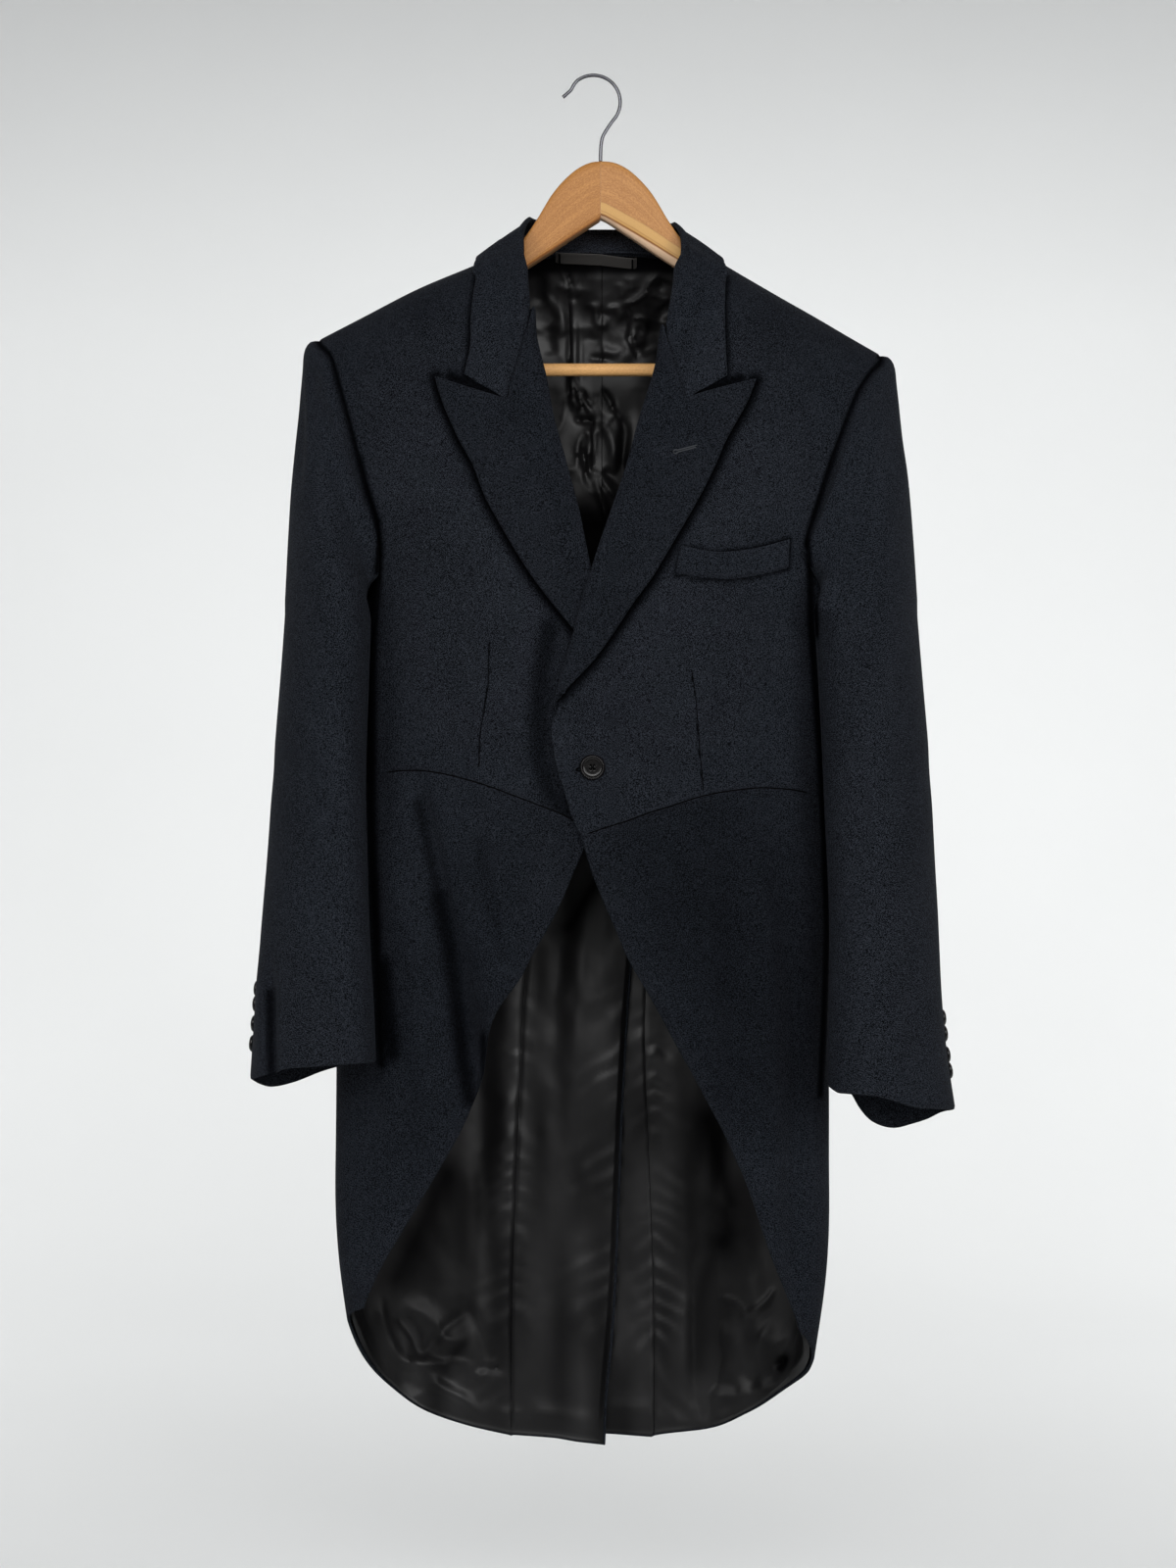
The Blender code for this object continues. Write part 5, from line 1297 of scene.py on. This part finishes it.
def add_button(name, centre, normal, radius):
    """Turned button: a raised rounded rim, a dished middle and four holes, as heights over a disc."""
    side_way, up = across_button(normal)
    turns, holes = 52, 4
    hole_place, hole_radius = 0.2, 0.06
    share = np.concatenate([np.linspace(0.02, 0.62, 18), np.linspace(0.65, 1.0, 14)])
    turn = np.linspace(0, 2 * math.pi, turns, endpoint=False)
    r, t = np.meshgrid(share, turn, indexing="ij")
    rim = np.exp(-((r - 0.86) / 0.1) ** 2) * 0.13
    fall = 0.1 * ease((r - 0.93) / 0.07)
    height = 0.235 + rim - 0.035 * ease((0.8 - r) / 0.3) - fall
    for index in range(holes):
        hole = math.pi / 4 + index * 2 * math.pi / holes
        away = np.hypot(r * np.cos(t) - hole_place * math.cos(hole),
                        r * np.sin(t) - hole_place * math.sin(hole))
        height -= 0.2 * (1 - ease((away - hole_radius) / 0.05))
    base = centre + normal * 0.3
    circle = np.cos(turn)[:, None] * side_way + np.sin(turn)[:, None] * up
    disc = base + radius * (share[:, None, None] * circle + height[..., None] * normal)
    underside = ((1.0, 0.12), (0.97, 0.03), (0.8, 0.0), (0.02, 0.0))
    rings = [base + radius * (circle * size + normal * lift) for size, lift in underside]
    points = np.concatenate([disc, np.stack(rings)])
    uv = np.zeros((len(points) * turns, 2))
    add_piece(name, points, ring_faces(len(points), turns), HORN, "horn", uv, name, 40)


def add_tube(name, path, radius, material, slot, turns, node=None, **values):
    """Round wire or thread carried along a path, closed at both ends, thinner at its very tips."""
    path = np.asarray(path, float)
    along = unit(np.gradient(path, axis=0))
    guide = np.array((0.0, 1.0, 0.0))
    first = unit(np.cross(along, guide) + 1e-9)
    second = np.cross(first, along)
    size = np.full(len(path), radius)
    size[0] = size[-1] = radius * 0.25
    turn = np.linspace(0, 2 * math.pi, turns, endpoint=False)
    circle = np.cos(turn)[:, None] * first[:, None] + np.sin(turn)[:, None] * second[:, None]
    rings = path[:, None] + size[:, None, None] * circle
    uv = np.stack(np.broadcast_arrays(running(path)[:, None], turn[None] * radius), -1)
    values = {key: np.full(len(path) * turns, value) for key, value in values.items()}
    add_piece(name, rings, ring_faces(len(path), turns), material, slot, uv, node, 60, **values)


class Value:
    """One output of a node; arithmetic on it adds Math nodes."""

    def __init__(self, maker, socket):
        self.maker, self.socket = maker, socket

    def math(self, operation, *others):
        inputs = dict(enumerate((self,) + others))
        return self.maker.node("ShaderNodeMath", {"operation": operation}, inputs)["Value"]

    def __add__(self, other):
        return self.math("ADD", other)

    def __sub__(self, other):
        return self.math("SUBTRACT", other)

    def __rsub__(self, other):
        return self.math("MULTIPLY", -1.0).math("ADD", other)

    def __mul__(self, other):
        return self.math("MULTIPLY", other)

    def __truediv__(self, other):
        return self.math("DIVIDE", other)

    def __rtruediv__(self, other):
        return self.math("POWER", -1.0).math("MULTIPLY", other)

    def __pow__(self, other):
        return self.math("POWER", other)

    __radd__, __rmul__ = __add__, __mul__

    def wave(self):
        """The sine of it, moved to run from 0 to 1."""
        return (self.math("SINE") + 1) * 0.5

    def near(self, width):
        """1 where it is 0, falling to 0 past that width on both sides."""
        return 1 / ((self / width) ** 4.0 + 1)

    def clip(self, low, high):
        return self.math("MAXIMUM", low).math("MINIMUM", high)

    def part(self, axis):
        return self.maker.node("ShaderNodeSeparateXYZ", {}, {"Vector": self})[axis]


class Node:
    """A node whose outputs are read by name."""

    def __init__(self, maker, node):
        self.maker, self.node = maker, node

    def __getitem__(self, name):
        return Value(self.maker, self.node.outputs[name])


class Maker:
    """Builds the node material of one finish."""

    def __init__(self, name):
        self.material = bpy.data.materials.new(name)
        self.material.use_nodes = True
        self.tree = self.material.node_tree
        self.shader = self.tree.nodes["Principled BSDF"]

    def put(self, socket, value):
        if isinstance(value, Value):
            self.tree.links.new(value.socket, socket)
        else:
            socket.default_value = value

    def node(self, kind, settings, inputs):
        node = self.tree.nodes.new(kind)
        for key, value in settings.items():
            setattr(node, key, value)
        for key, value in inputs.items():
            self.put(node.inputs[key], value)
        return Node(self, node)

    def noise(self, vector, scale, detail, roughness=0.55):
        return self.node("ShaderNodeTexNoise", {}, {
            "Vector": vector, "Scale": scale, "Detail": detail, "Roughness": roughness})["Fac"]

    def stretched(self, vector, scale):
        return self.node("ShaderNodeMapping", {}, {"Vector": vector, "Scale": scale})["Vector"]

    def blended(self, factor, first, second):
        """A colour between two, by a factor from 0 to 1."""
        node = self.node("ShaderNodeMix", {"data_type": "RGBA"}, {0: factor, 6: first, 7: second})
        return Value(self, node.node.outputs[2])

    def on_cloth(self):
        """Places on the piece's own map, in millimetres."""
        mapped = self.node("ShaderNodeUVMap", {"uv_map": "cloth"}, {})["UV"]
        return self.stretched(mapped, (1000.0, 1000.0, 1000.0))

    def in_space(self):
        return self.node("ShaderNodeTexCoord", {}, {})["Object"]

    def attribute(self, name):
        return self.node("ShaderNodeAttribute", {"attribute_name": name}, {})["Fac"]

    def set(self, **values):
        names = {"color": "Base Color", "roughness": "Roughness", "metallic": "Metallic",
                 "sheen": "Sheen Weight", "sheen_roughness": "Sheen Roughness",
                 "sheen_tint": "Sheen Tint", "specular": "Specular IOR Level",
                 "coat": "Coat Weight", "coat_roughness": "Coat Roughness"}
        for key, value in values.items():
            self.put(self.shader.inputs[names[key]], value)
        return self

    def relief(self, height, distance, strength=1.0):
        """Sets the normal from a height; distance is the real height of 1, in metres."""
        bump = self.node("ShaderNodeBump", {}, {"Height": height, "Distance": distance,
                                                "Strength": strength})
        self.put(self.shader.inputs["Normal"], bump["Normal"])

    def darken(self, factor, color):
        """Mixes the finish with a matt dark one, by a factor from 0 to 1: painted shade."""
        matt = self.node("ShaderNodeBsdfDiffuse", {}, {"Color": color})["BSDF"]
        glossy = Value(self, self.shader.outputs["BSDF"])
        mixed = self.node("ShaderNodeMixShader", {}, {0: factor, 1: glossy, 2: matt})["Shader"]
        self.put(self.tree.nodes["Material Output"].inputs["Surface"], mixed)


def wool_finish():
    """Fine twill: ribs 0.95 mm apart across the grain, broken by the warp, with a soft uneven nap."""
    make = Maker("wool_twill")
    place = make.on_cloth()
    across_mm, along_mm = place.part("X"), place.part("Y")
    rib = ((across_mm * 0.78 + along_mm * 0.62) * (2 * math.pi / 0.95)).wave()
    warp = (across_mm * (2 * math.pi / 0.52)).wave()
    nap = make.noise(make.in_space(), 1250.0, 2.0, 0.7)
    drift = make.noise(place, 0.02, 2.0)
    # The dark line along each dart's seam, taken together with the painted shade held in the piece's
    # values.
    groove = make.attribute("dart_mm").near(0.7).math("MAXIMUM", make.attribute("hollow"))
    weave = rib * 0.6 + warp * rib * 0.4
    tone = ((nap - 0.5) * 5.9 + (weave - 0.4) * 0.35 + (drift - 0.5) * 0.4 + 0.42).clip(0.0, 1.0)
    dark, light = (0.0015, 0.0018, 0.0026, 1), (0.0250, 0.0288, 0.0370, 1)
    make.set(color=make.blended(tone, dark, light), roughness=nap * 0.2 + 0.76, specular=0.03,
             sheen=0.012, sheen_roughness=0.5, sheen_tint=(0.8, 0.86, 1.0, 1))
    make.relief(weave, 0.0002, 0.6)
    # Painted shade: the colour is mixed towards a matt near-black along the darts, in creases, beside edges
    # and beside the sleeves.
    make.darken((groove * 0.92).clip(0.0, 0.95), (0.0006, 0.0006, 0.0008, 1))
    return make.material


def satin_finish():
    """Glossy satin: long floats along the grain, a soft crumple and finer creases in the relief."""
    make = Maker("satin_lining")
    place = make.on_cloth()
    floats = make.noise(make.stretched(place, (1.0, 0.12, 1.0)), 1.6, 3.0, 0.6)
    crumple = make.noise(place, 0.03, 2.0, 0.5)
    rub = make.noise(place, 0.008, 2.0)
    dark, light = (0.0035, 0.0033, 0.0037, 1), (0.010, 0.0095, 0.0102, 1)
    make.set(color=make.blended((floats * 0.5 + rub * 0.8 - 0.2).clip(0.0, 1.0), dark, light),
             roughness=(floats * 0.08 + rub * 0.12 + make.attribute("hollow") * 0.12 + 0.33).clip(0.2, 0.9),
             specular=0.5, sheen=0.01)
    make.relief(crumple + floats * 0.012, 0.003, 0.3)
    # Painted shade: the satin is mixed towards a matt near-black inside the coat, under the tape and along
    # its creases.
    make.darken(make.attribute("hollow"), (0.0012, 0.0012, 0.0014, 1))
    return make.material


def wood_finish(name, light, dark, pore, pale, inlay):
    """Varnished wood: the grain is noise drawn out along the arm, with fine dark pores; the attributes
    give how far each point lies above the underside and above the inlaid strip, in millimetres. The
    underside's colour is painted light: a painted highlight on one half, painted shade along the other's
    bottom edge."""
    make = Maker(name)
    place = make.on_cloth()
    layers = make.noise(make.stretched(place, (0.012, 0.22, 1.0)), 1.0, 3.0, 0.5)
    wander = make.noise(place, 0.02, 2.0)
    grain = (layers * 14.0 + wander * 3.0).wave()
    pores = make.noise(make.stretched(place, (0.07, 1.4, 1.0)), 1.0, 3.0, 0.65)
    flecks = ((pores - 0.55) * 8.0).clip(0.0, 1.0)
    specks = make.noise(make.stretched(place, (0.5, 1.1, 1.0)), 1.0, 2.0, 0.6)
    shade = (grain * 0.4 + (specks - 0.5) * 2.6 + wander * 0.3 + 0.1).clip(0.0, 1.0)
    colour = make.blended(shade, light, dark)
    colour = make.blended(flecks * 0.35, colour, pore)
    over_inlay, over_pale = make.attribute("over_inlay_mm"), make.attribute("over_pale_mm")
    in_inlay = (0.5 - over_inlay * 1.2 + (layers - 0.5) * 2.0).clip(0.0, 1.0)
    colour = make.blended(in_inlay * 0.75, colour, inlay)
    # Painted light on the underside: a painted highlight on one half, painted shade along the other's
    # bottom edge; then a dark line along its top.
    colour = make.blended((0.5 - over_pale * 1.6).clip(0.0, 1.0), colour, pale)
    underside_line = over_pale.near(0.8)
    edge = over_inlay.near(0.6)
    second = (over_pale - 2.8 + (layers - 0.5) * 2.0).near(0.5)
    colour = make.blended((underside_line * 0.95 + edge * 0.3 + second * 0.35).clip(0.0, 1.0), colour, pore)
    make.set(color=colour, roughness=0.46 + flecks * 0.12, specular=0.2, coat=0.06, coat_roughness=0.3)
    make.relief(1 - flecks * 0.5 - underside_line, 0.0002, 0.35)
    return make.material


def steel_finish():
    """Bright drawn wire, a little uneven along its length."""
    make = Maker("steel_wire")
    place = make.in_space()
    drawn_marks = make.noise(place, 900.0, 3.0)
    make.set(color=(0.10, 0.10, 0.11, 1), metallic=1.0, roughness=drawn_marks * 0.16 + 0.16)
    make.relief(drawn_marks, 0.0001, 0.3)
    return make.material


def horn_finish():
    """Polished black button with faint streaks."""
    make = Maker("black_horn")
    place = make.in_space()
    streaks = make.noise(make.stretched(place, (300.0, 300.0, 1300.0)), 1.0, 3.0)
    make.set(color=make.blended(streaks, (0.002, 0.002, 0.002, 1), (0.009, 0.008, 0.008, 1)),
             roughness=streaks * 0.14 + 0.14, specular=0.35)
    make.relief(streaks, 0.00006, 0.4)
    return make.material


def tape_finish():
    """Ribbed tape: fine cross ribs 0.8 mm apart."""
    make = Maker("woven_tape")
    place = make.on_cloth()
    rib = (place.part("X") * (2 * math.pi / 0.8)).wave()
    nap = make.noise(place, 1.2, 3.0)
    make.set(color=make.blended(rib * 0.4 + nap * 0.6, (0.013, 0.012, 0.011, 1), (0.046, 0.042, 0.039, 1)),
             roughness=nap * 0.2 + 0.62, sheen=0.05)
    make.relief(rib + nap, 0.00025, 0.6)
    return make.material


def thread_finish(name, colour, specular):
    """Twisted sewing thread."""
    make = Maker(name)
    place = make.in_space()
    twist = make.noise(place, 2600.0, 2.0)
    bright = tuple(min(1.0, 2.2 * c) for c in colour[:3]) + (1.0,)
    make.set(color=make.blended(twist, colour, bright), roughness=twist * 0.2 + 0.6, specular=specular)
    make.relief(twist, 0.0002, 0.5)
    return make.material


def floor_finish():
    """Matt pale floor and wall with a faint cloudiness."""
    make = Maker("pale_floor")
    place = make.in_space()
    shade = make.noise(place, 1.5, 2.0)
    make.set(color=make.blended(shade, (0.72, 0.73, 0.73, 1), (0.76, 0.77, 0.77, 1)), roughness=0.85)
    return make.material


def add_sleeve_buttons(side_name, grid, normals, angle):
    """Four buttons up from the cuff, just behind the sleeve's outer edge."""
    column = column_at(angle, BUTTON_LINE)
    run, out = grid[:, column], normals[:, column]
    up_the_sleeve = running(run[::-1])
    for index in range(4):
        spot = int(np.argmin(np.abs(up_the_sleeve - (FIRST_BUTTON + BUTTON_STEP * index))))
        row = len(run) - 1 - spot
        add_button(f"cuff_button_{side_name}_{index + 1}", run[row], out[row], SLEEVE_BUTTON_RADIUS)


def add_welt():
    """The breast pocket's welt, stitched down at both ends over the slit that it covers."""
    bottom, top = line(drawn(WELT_BOTTOM), count(7)), line(drawn(WELT_TOP), count(7))
    ends = [line(np.stack([bottom[end], top[end]]), 9) for end in (0, -1)]
    places = patch(bottom, top, *ends)
    places = finer(places, *GRID["welt"])
    outer = surface(places, overlap_lift(places) + 1.9)
    normals = grid_normals(outer)
    normals *= np.sign(-normals[..., 1].sum())
    down, _, from_left, from_right = edge_distances(outer)
    outer = pressed(outer, normals, (), 0.7, 1.6)
    outer = outer - normals * (1.4 * (1 - ease(down / 3.5)))[..., None]
    stitched = np.minimum(from_left, from_right)
    line_dip = 0.35 * np.exp(-((stitched - 1.8) / 0.7) ** 2)
    outer = outer - normals * line_dip[..., None]
    add_shell("breast_welt", outer, normals, WELT_CLOTH, WOOL, "wool")


def add_hang_loop():
    """Tape sewn inside the back neck under the collar, tacked down at both ends."""
    low = past_centre(across(((-39, -141.6), (29, -146)), 1, 1), 1)
    high = past_centre(across(((-39, -134.6), (29, -138.6)), 1, 1), 1)
    rows, columns = 8, 40
    ends = [line(np.stack([low[end], high[end]]), rows) for end in (0, -1)]
    places = patch(line(low, columns), line(high, columns), *ends)
    along = np.linspace(-1, 1, columns)
    bow = 1.2 * (1 - along ** 8)
    normals = facing(places)
    points = surface(places, -CLOTH - LINING_GAP - SATIN - 2.2 - bow[None, :])
    inward = grid_normals(points)
    inward *= -np.sign((inward * normals).sum())
    points = pressed(points, inward, (), 0.3, 0.8)
    add_shell("hang_loop", points, inward, TAPE_CLOTH, TAPE, "tape")
    for name, column in (("tape_tack_left", 2), ("tape_tack_right", columns - 3)):
        tack = points[:, column] + inward[:, column] * 0.5
        tack = read(np.linspace(-0.2, rows - 0.8, 12), np.arange(rows), tack)
        add_tube(name, tack, 0.7, DARK_THREAD, "tape", 8)


def add_seam(name, path, height, radius, side):
    """A seam's fine line of stitches, drawn into the groove between two pieces or along a dart."""
    places = line(drawn(path), 90)
    points = hang(raised(places, np.full(len(places), height), side))
    add_tube(name, points[2:], radius, DARK_THREAD, "wool", 8)


def add_worked_slit(name, start, end, rise, eyelet, material):
    """A worked buttonhole: a cord of close purl stitches round a slit, with an eye at one end."""
    start, end = np.array(start, float), np.array(end, float)
    along = unit(end - start)
    side_way = np.array([-along[1], along[0]])
    length = np.linalg.norm(end - start)
    stitches = 120
    turn = np.linspace(0, 1, stitches) * 2 * math.pi
    run = (0.5 - 0.5 * np.cos(turn)) * length
    half = 0.75 + eyelet * np.exp(-((run - 1.4) / 1.5) ** 2)
    off = np.sign(np.sin(turn)) * half * np.sqrt(np.clip(1 - (np.abs(run / length - 0.5) * 2) ** 12, 0, 1))
    path = start + run[:, None] * along + off[:, None] * side_way
    path[-1] = path[0] + along * 0.05
    places = drawn(path)
    stitch = 0.12 * np.sin(np.arange(stitches) * math.pi * 0.9)
    points = hang(raised(places, rise + 0.1 + stitch, 1))
    add_tube(name, points, 0.62, material, "wool", 10)


def add_front_button():
    """The one front button, sewn with crossed thread on a short shank."""
    button_at = drawn((FRONT_BUTTON,))
    centre = hang(raised(button_at, np.zeros(1), 1))[0]
    normal = facing(button_at)[0]
    add_button("front_button", centre, normal, BUTTON_RADIUS)
    side_way, up = across_button(normal)
    t = np.linspace(-1, 1, 16)
    for index, way in enumerate((side_way + up, side_way - up)):
        lift = 2.55 - 0.9 * np.abs(t) ** 4 + 0.15 * index
        path = centre + normal * lift[:, None] + way * (t * 1.45)[:, None]
        add_tube(f"button_thread_{index + 1}", path, 0.32, DARK_THREAD, "horn", 8)


def add_hanger():
    """Two wooden halves with rounded edges that meet at a mitre, and the round bar between them."""
    turns = 64
    turn = np.linspace(0, 2 * math.pi, turns, endpoint=False) + math.pi / turns
    square = (np.abs(np.cos(turn)) ** 9 + np.abs(np.sin(turn)) ** 9) ** (1 / 9)
    wide, tall = np.cos(turn) / square, np.sin(turn) / square
    run = running(np.stack([HANGER["top_x"], HANGER["top_z"]], -1))
    fine = np.concatenate([np.linspace(0, run[-1] - 2.5, 90), run[-1] - np.array([1.6, 0.9, 0.4, 0.1])])
    sizes = {name: smooth(fine, run, column) for name, column in HANGER.items()}
    shrink = np.sqrt(np.clip(1 - (1 - np.clip((run[-1] - fine) / 3.0, 0, 1)) ** 2, 0.05, 1))
    for side, name, finish in ((1, "hanger_left", WOOD_LIGHT), (-1, "hanger_right", WOOD)):
        top = np.stack([sizes["top_x"], sizes["top_z"]], -1)
        bottom = np.stack([sizes["bottom_x"], sizes["bottom_z"]], -1)
        middle, half = (top + bottom) / 2, (top - bottom) / 2 * (0.6 + 0.4 * shrink[:, None])
        outline = middle[:, None] + half[:, None] * tall[None, :, None]
        depth = HANGER_THICK * wide[None] * shrink[:, None]
        start = MITRE * side + 0.05
        x = np.maximum(outline[..., 0], start)
        x[0] = start
        above = outline[..., 1] - outline[..., 1].min(1, keepdims=True)
        # The underside's colour is painted light: a pale strip as a painted highlight on the viewer's right
        # half, a thin strip of painted shade along the other half's bottom edge.
        painted_underside_height = (UNDERSIDE_HIGHLIGHT_STRIP[0] + UNDERSIDE_HIGHLIGHT_STRIP[1] * x) if side > 0 else np.full(x.shape, 1.2)
        inlay_height = (INLAY[0] + INLAY[1] * x) if side > 0 else np.full(x.shape, -20.0)
        cut_back = np.clip(painted_underside_height - above, 0, None) * (depth < 0)
        points = hang(np.stack([side * x, depth + 0.7 * cut_back, outline[..., 1]], -1))
        over = np.broadcast_to(tall * 22 + wide * 9, x.shape)
        uv = np.stack([np.broadcast_to(fine[:, None], x.shape) + 400 * (side > 0), over], -1)
        add_piece(name, points, ring_faces(len(fine), turns), finish, "wood", uv, name, 40,
                  over_pale_mm=above - painted_underside_height, over_inlay_mm=above - inlay_height)
    length = np.linspace(-BAR_REACH, BAR_REACH, 60)
    bar = hang(np.stack([length, np.zeros(60), np.full(60, BAR_HEIGHT)], -1))
    bar[:, 2] = BAR_HEIGHT
    add_tube("trouser_bar", bar, BAR_RADIUS, WOOD_BAR_PAINTED_LIGHT, "wood", 32, "trouser_bar", over_pale_mm=20.0,
             over_inlay_mm=20.0)


def add_hook():
    """Steel wire: a small ball at the tip, the round hook, and an easy bend into the stem."""
    arc = np.radians(np.linspace(126, -42, 40))
    round_part = np.stack([np.cos(arc), np.sin(arc)], -1) * HOOK_RADIUS + HOOK_CENTRE
    tip = np.array([(-30.8, -15.2), (-28.4, -13.0), (-25.6, -10.4), (-23.2, -6.2)])
    stem = np.array([(3.2, -43.4), (0.4, -48.5), (-0.9, -55.0), (-1.3, -62.0), (-1.4, -69.6)])
    path = line(np.concatenate([tip, round_part, stem]), 150)
    path = np.stack([path[:, 0], np.zeros(len(path)), path[:, 1]], -1)
    add_tube("hanger_hook", path, WIRE_RADIUS, STEEL, "steel", 20, "hanger_hook")
    turn = np.linspace(0, math.pi, 18)
    ball = path[0] + np.outer(np.cos(turn), (-1.3, 0, -1.1))
    add_tube("hook_tip", ball, 1.5, STEEL, "steel", 16)


def add_stage():
    """Pale floor that sweeps up into a wall behind the coat, with three wide lamps in front, two on the
    wall and one on the floor."""
    rise = np.linspace(0, math.pi / 2, 24)
    depth = np.concatenate([[-1.1, 0.2], WALL_Y - SWEEP + SWEEP * np.sin(rise), [WALL_Y]])
    height = FLOOR_Z + np.concatenate([[0.0, 0.0], SWEEP - SWEEP * np.cos(rise), [9.0]])
    sides = np.linspace(-12.0, 12.0, 25)
    points = np.stack(np.broadcast_arrays(sides[None], depth[:, None], height[:, None]), -1)
    mesh = bpy.data.meshes.new("floor")
    mesh.from_pydata(points.reshape(-1, 3).tolist(), [], grid_faces(*points.shape[:2]).tolist())
    mesh.materials.append(floor_finish())
    mesh.shade_smooth()
    floor = bpy.data.objects.new("floor", mesh)
    bpy.context.scene.collection.objects.link(floor)
    world = bpy.data.worlds.new("pale_room")
    bpy.context.scene.world = world
    world.use_nodes = True
    background = world.node_tree.nodes["Background"]
    background.inputs["Color"].default_value = (0.98, 1.0, 1.0, 1)
    background.inputs["Strength"].default_value = 0.12
    for name, place, aim, width, depth, power in (
            ("key_light", (1.5, -2.2, 0.0), (0.0, 0.0, -0.45), 0.9, 1.3, 24),
            ("fill_light", (-1.6, -2.1, 0.15), (0.0, 0.0, -0.45), 0.9, 1.3, 19),
            ("top_light", (0.0, -2.6, 0.5), (0.0, 0.0, -0.3), 2.0, 1.1, 40),
            ("wall_light_right", (2.3, 0.7, -0.6), (0.9, WALL_Y, -0.7), 1.6, 1.6, 35),
            ("wall_light_left", (-2.3, 0.7, -0.6), (-0.9, WALL_Y, -0.7), 1.6, 1.6, 27),
            ("floor_light", (0.0, 1.2, 0.6), (0.0, 1.9, FLOOR_Z), 2.4, 1.0, 21)):
        light = bpy.data.lights.new(name, "AREA")
        light.shape, light.size, light.size_y, light.energy = "RECTANGLE", width, depth, power
        lamp = bpy.data.objects.new(name, light)
        bpy.context.scene.collection.objects.link(lamp)
        lamp.location = place
        toward = Vector(aim) - Vector(place)
        lamp.rotation_euler = toward.to_track_quat("-Z", "Y").to_euler()
        lamp.visible_camera = False
    bpy.context.scene.view_settings.view_transform = "Standard"


def add_camera():
    """Level camera 1.9 m in front of the coat, at the photograph's height and view."""
    data = bpy.data.cameras.new("camera")
    data.sensor_fit = "VERTICAL"
    data.sensor_height = 24.0
    data.lens = data.sensor_height / 2 * EYE_DISTANCE / HALF_VIEW
    camera = bpy.data.objects.new("camera", data)
    bpy.context.scene.collection.objects.link(camera)
    camera.location = ((EYE_X + COAT_SHIFT) * MM, -EYE_DISTANCE * MM, EYE_Z * MM)
    camera.rotation_euler = (math.pi / 2, 0, 0)
    bpy.context.scene.camera = camera


WOOL, SATIN_LINING = wool_finish(), satin_finish()
# Colours of the woods: light and dark grain, pores, the underside's painted light and inlaid strip. The
# underside is a painted highlight on the viewer's right half and painted shade along the other half's
# bottom edge.
UNDERSIDE_HIGHLIGHT, YELLOW_WOOD = (0.80, 0.56, 0.37, 1), (0.60, 0.36, 0.12, 1)
WOOD = wood_finish("wood_orange", (0.50, 0.235, 0.066, 1), (0.34, 0.14, 0.036, 1), (0.24, 0.09, 0.025, 1),
                   (0.42, 0.24, 0.12, 1), YELLOW_WOOD)
# The bar's wood is painted lighter than the halves': painted light for the light that falls on it from
# above.
WOOD_BAR_PAINTED_LIGHT = wood_finish("wood_bar_painted_light", (0.86, 0.49, 0.20, 1), (0.70, 0.38, 0.14, 1), (0.42, 0.19, 0.065, 1),
                       UNDERSIDE_HIGHLIGHT, YELLOW_WOOD)
WOOD_LIGHT = wood_finish("wood_yellow", (0.53, 0.26, 0.084, 1), (0.36, 0.155, 0.048, 1),
                         (0.26, 0.10, 0.03, 1), UNDERSIDE_HIGHLIGHT, YELLOW_WOOD)
STEEL, HORN, TAPE = steel_finish(), horn_finish(), tape_finish()
DARK_THREAD = thread_finish("dark_thread", (0.0008, 0.0008, 0.001, 1), 0.03)
GREY_THREAD = thread_finish("grey_thread", (0.022, 0.024, 0.027, 1), 0.15)

for side_name, side in (("left", 1), ("right", -1)):
    cut = seams(side)
    add_forepart("forepart_" + side_name, side, cut)
    add_side_body("side_body_" + side_name, side, cut)
    add_back(side_name, side, cut)
    add_skirt(side_name, side, cut)
    add_lapel("lapel_" + side_name, side)
    add_seam("gorge_seam_" + side_name, GORGE[side], TURNED_HEIGHT - 0.3, 0.3, side)
    add_seam("waist_seam_" + side_name, WAIST[side], -0.7, 0.5, side)
    add_seam("dart_seam_" + side_name, DARTS[side], -0.3, 0.3, side)
    grid, normals, angle = add_sleeve(side_name, side)
    add_sleeve_buttons(side_name, grid, normals, angle)
    waist_back = across((WAIST_BUTTON,), side, 1)
    add_button("waist_button_" + side_name, surface(waist_back)[0], facing(waist_back)[0], BUTTON_RADIUS)
add_collar()
add_welt()
add_hang_loop()
add_worked_slit("lapel_buttonhole", (58, -306.4), (82.8, -300), TURNED_HEIGHT + 0.2, 1.0, GREY_THREAD)
add_worked_slit("front_buttonhole", (-21, -565), (2, -564), 0.2, 0.6, DARK_THREAD)
add_front_button()
add_hanger()
add_hook()
add_stage()
add_camera()
